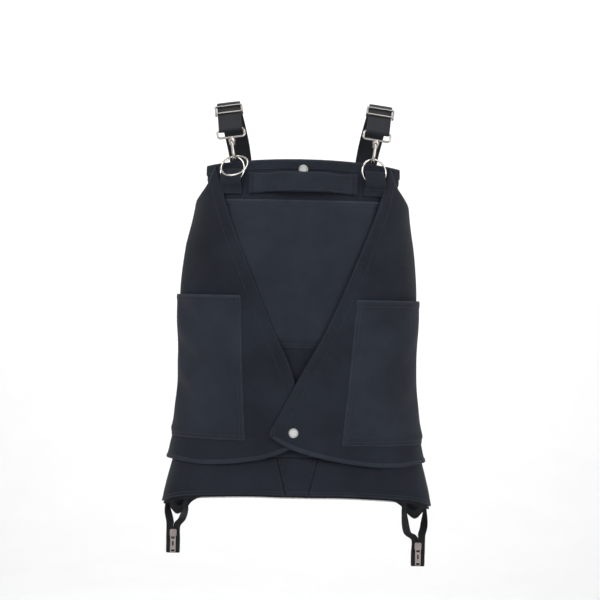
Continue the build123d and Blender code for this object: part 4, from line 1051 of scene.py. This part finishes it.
def swell(obj, voxel, pressure, cap, share_of):
    """Blow a pad up like filled cloth. No point moves further than the cap times its share."""
    bpy.context.view_layer.objects.active = obj
    remesh = obj.modifiers.new("even", "REMESH")
    remesh.mode = "VOXEL"
    remesh.voxel_size = voxel
    bpy.ops.object.modifier_apply(modifier=remesh.name)
    start = np.array([tuple(v.co) for v in obj.data.vertices])
    goal = start
    soft = obj.modifiers.new("cloth", "CLOTH")
    settings = soft.settings
    settings.quality = 6
    settings.mass = 0.2
    settings.tension_stiffness = 14
    settings.compression_stiffness = 14
    settings.bending_stiffness = 0.4
    settings.use_pressure = True
    settings.uniform_pressure_force = pressure
    settings.effector_weights.gravity = 0
    for step in range(1, 16):
        bpy.context.scene.frame_set(step)
    shaped = obj.evaluated_get(bpy.context.evaluated_depsgraph_get())
    goal = np.array([tuple(v.co) for v in shaped.data.vertices])
    obj.modifiers.remove(soft)
    bpy.context.scene.frame_set(1)
    move = goal - start
    far = np.linalg.norm(move, axis=1)
    limit = cap * share_of(start)
    move *= (np.minimum(far, limit) / np.maximum(far, 1e-9))[:, None]
    obj.data.vertices.foreach_set("co", (start + move).ravel())
    rounder = obj.modifiers.new("round", "SUBSURF")
    rounder.levels = rounder.render_levels = 1
    bpy.ops.object.modifier_apply(modifier=rounder.name)
    obj.data.polygons.foreach_set("use_smooth", np.ones(len(obj.data.polygons), bool))


swell(grip, 0.0022, 3.0, 0.0016, lambda at: 0.15 + 0.85 * smooth((0.072 - np.abs(at[:, 0])) / 0.02))
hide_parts("carry_handle")
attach(grip, "vest")

# Rolled ends of the handle.
for side, sign in SIDES.items():
    z = np.linspace(-116.5, -150.5, 12)
    path = place(u_of(81.5, z), z, (6.3, 6.3)) * [sign, 1, 1]
    ribbon(f"handle_end_{side}", path, (1, sign * 0.2, 0), 7.4, 2.8, CANVAS, round_share=3.2)

# ---------------------------------------------------------------- stitching
sew("bib", "seam", 3.0)
sew("bib", "free", 3.0)
for side in SIDES:
    sew(f"side_{side}", "seam", 3.0, 8.5)
    sew(f"side_{side}", "hem", 8.4)
    sew(f"skirt_{side}", "seam", 2.8)
    sew(f"skirt_{side}", "hem", 6.2, 2.0)
sew("skirt_centre", "seam", 2.6)
sew("skirt_centre", "hem", 6.2, 2.0)
sew("back", "seam", 3.0, 8.5)
sew("back", "hem", 8.4, 2.2)
for name in ("bib_band", "back_band"):
    sew(name, "free", 2.0)
sew("chest_pouch", "sewn", 2.2, 7.6)
sew("chest_pouch", "hem", 7.6)
for side in SIDES:
    sew(f"flap_{side}_cloth", "fold", 2.6, 18.6)
    sew(f"flap_{side}_cloth", "free", 6.5)
    sew(f"flap_{side}_pouch", "sewn", 2.2, 7.4)
    sew(f"flap_{side}_pouch", "hem", 10.6)


def surface_stitches(obj_name, rows, thick=0.34):
    """Stitches on a ribbon of the vest: rows of points (metres) just above it, dropped onto the surface."""
    mesh = bpy.data.objects[obj_name].data
    tree = tree_of([v.co for v in mesh.vertices], [tuple(f.vertices) for f in mesh.polygons])
    for row in rows:
        row = resample(row, 3.2 * MM)
        way = np.gradient(row, axis=0)
        way /= np.linalg.norm(way, axis=1)[:, None]
        for at, along in zip(row, way):
            tips = [tree.find_nearest(Vector(at + along * 2.5 * MM * t)) for t in (-0.5, 0.5)]
            up = (tips[0][1] + tips[1][1]).normalized()
            threads["vest"].append((tips[0][0], tips[1][0], up, thick))


tab_box = [(-15.2, -19.5), (15.2, -19.5), (15.2, -11.5), (-15.2, -11.5), (-15.2, -19.5)]
tab_box = np.array([TAB_ORIGIN + TAB_LEVEL * x + TAB_UP * y + TAB_OUT * 6.0 for x, y in tab_box]) * MM
back_z = np.array([-97.0, -135.0])
back_u = 2 - u_of(BACK_TAB_X, back_z)
high_l, low_l = place(back_u + 15.5 / QUARTER, back_z, (8.0, 8.0))
high_r, low_r = place(back_u - 15.5 / QUARTER, back_z, (8.0, 8.0))
box_and_cross = [[low_l, high_l], [high_l, high_r], [high_r, low_r], [low_r, low_l], [low_l, high_r],
                 [low_r, high_l]]
for side, sign in SIDES.items():
    # Box of stitches low on each ring tab, box and cross where the strap is sewn to the back.
    surface_stitches(f"ring_tab_{side}_cloth", [tab_box * [sign, 1, 1]])
    surface_stitches(f"strap_{side}_webbing", [np.array(row) * [sign, 1, 1] for row in box_and_cross], 0.4)
    # Two rows across the doubled webbing above the eye.
    rows = []
    for at in from_side(side, np.array([RUN_OUT * 8 + RUN_WAY * t for t in (10.0, 13.0)])):
        rows.append(np.array([at - STRAP_ACROSS * 16.5, at + STRAP_ACROSS * 16.5]) * MM * [sign, 1, 1])
    surface_stitches(f"strap_{side}_webbing", rows, 0.4)
    # Rows beside the ends of the handle.
    z = np.linspace(-117, -150, 8)
    rows = [place(u_of(x, z), z, (9, 9)) * [sign, 1, 1] for x in (86.0, 76.4, 74.0)]
    surface_stitches("handle_grip", rows)
surface_stitches("handle_grip", [handle_path(6.0)[10:-10] + HANDLE_UP * up * MM for up in (-14.6, 14.6)])

for group, stitches in sorted(threads.items()):
    sewn = thread_mesh(f"thread_{group}", stitches)
    if group == "vest":
        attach(sewn, group)

blended = []
for side, sign in SIDES.items():
    for name in (f"flap_{side}_cloth", f"flap_{side}_binding", f"thread_flap_{side}"):
        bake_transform(bpy.data.objects[name])
        blended.append(name)
for name, data in PIECES.items():
    if name not in blended and data["obj"].parent is None:
        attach(data["obj"], data["body"])

# ---------------------------------------------------------------- metal and other CAD nodes
NODE_MATERIALS = {
    "tab_ring": NICKEL, "loose_ring": NICKEL, "hook_body": DARK_NICKEL, "hook_lever": DARK_NICKEL,
    "lever_pin": NICKEL, "lever_spring": NICKEL, "swivel_eye": DARK_NICKEL, "adjuster": DARK_NICKEL,
    "zip_slider": PEWTER, "zip_pull": PEWTER, "top_snap": SNAP, "flap_snap": SNAP,
}
for node, obj in frame["nodes"].items():
    for start, material in NODE_MATERIALS.items():
        if node.startswith(start):
            obj.data.materials.clear()
            obj.data.materials.append(material)
            obj.data.polygons.foreach_set("use_smooth", np.ones(len(obj.data.polygons), bool))
            break

# ---------------------------------------------------------------- studio
def studio():
    """Pale floor that turns up behind into the backdrop, soft lights and the camera."""
    rows = []
    for k in range(40):
        angle = math.pi / 2 * min(max((k - 10) / 20, 0), 1)
        y = -4.0 + k * 0.62 if k <= 10 else 2.2 + 1.6 * math.sin(angle)
        z = -1.15 if k <= 10 else -1.15 + 1.6 * (1 - math.cos(angle)) + max(k - 30, 0) * 0.45
        rows.append((y, z))
    points = [(x, y, z) for y, z in rows for x in (-7.0, 7.0)]
    faces = [(2 * k, 2 * k + 1, 2 * k + 3, 2 * k + 2) for k in range(len(rows) - 1)]
    n = Nodes("studio_paper")
    spot = n.add("ShaderNodeTexCoord").outputs["Object"]
    n.set(Base_Color=n.mix(n.noise(spot, 6.0), (0.86, 0.86, 0.865, 1), (0.9, 0.9, 0.9, 1)), Roughness=0.9)
    floor = mesh_object("studio_floor", points, faces, n.material)
    world = bpy.data.worlds.new("studio")
    world.use_nodes = True
    tree = world.node_tree
    sky = tree.nodes["Background"]
    way = tree.nodes.new("ShaderNodeTexCoord")
    split = tree.nodes.new("ShaderNodeSeparateXYZ")
    ramp = tree.nodes.new("ShaderNodeValToRGB")
    tree.links.new(way.outputs["Generated"], split.inputs[0])
    tree.links.new(split.outputs[2], ramp.inputs[0])
    tree.links.new(ramp.outputs[0], sky.inputs[0])
    ramp.color_ramp.elements[0].position = 0.22
    ramp.color_ramp.elements[0].color = (1.0, 1.0, 1.0, 1)
    ramp.color_ramp.elements[1].position = 0.6
    ramp.color_ramp.elements[1].color = (0.03, 0.03, 0.035, 1)
    sky.inputs[1].default_value = 0.85
    bpy.context.scene.world = world
    lights = [("key", (-1.6, -2.4, 1.5), 1.6, 55), ("fill", (1.9, -2.2, 0.6), 1.8, 34),
              ("top", (0, -0.3, 2.2), 1.6, 30), ("back_wall", (0, 1.0, 1.6), 2.5, 60)]
    for name, at, size, power in lights:
        data = bpy.data.lights.new(name, "AREA")
        data.size = size
        data.energy = power
        lamp = bpy.data.objects.new(name, data)
        lamp.location = at
        target = Vector((0, 0, -0.35)) if name != "back_wall" else Vector((0, 3.8, 0.0))
        lamp.rotation_euler = (target - Vector(at)).to_track_quat("-Z", "Y").to_euler()
        bpy.context.scene.collection.objects.link(lamp)
    camera = bpy.data.cameras.new("camera")
    camera.lens = 108.3
    camera.sensor_width = 36.0
    obj = bpy.data.objects.new("camera", camera)
    obj.location = (-0.001, -3.0, -0.320)
    look = (Vector((-0.001, 0, -0.320)) - obj.location).to_track_quat("-Z", "Y")
    obj.rotation_euler = (look @ Matrix.Rotation(math.radians(1.2), 4, "Z").to_quaternion()).to_euler()
    bpy.context.scene.collection.objects.link(obj)
    bpy.context.scene.camera = obj
    bpy.context.scene.view_settings.view_transform = "Standard"


studio()
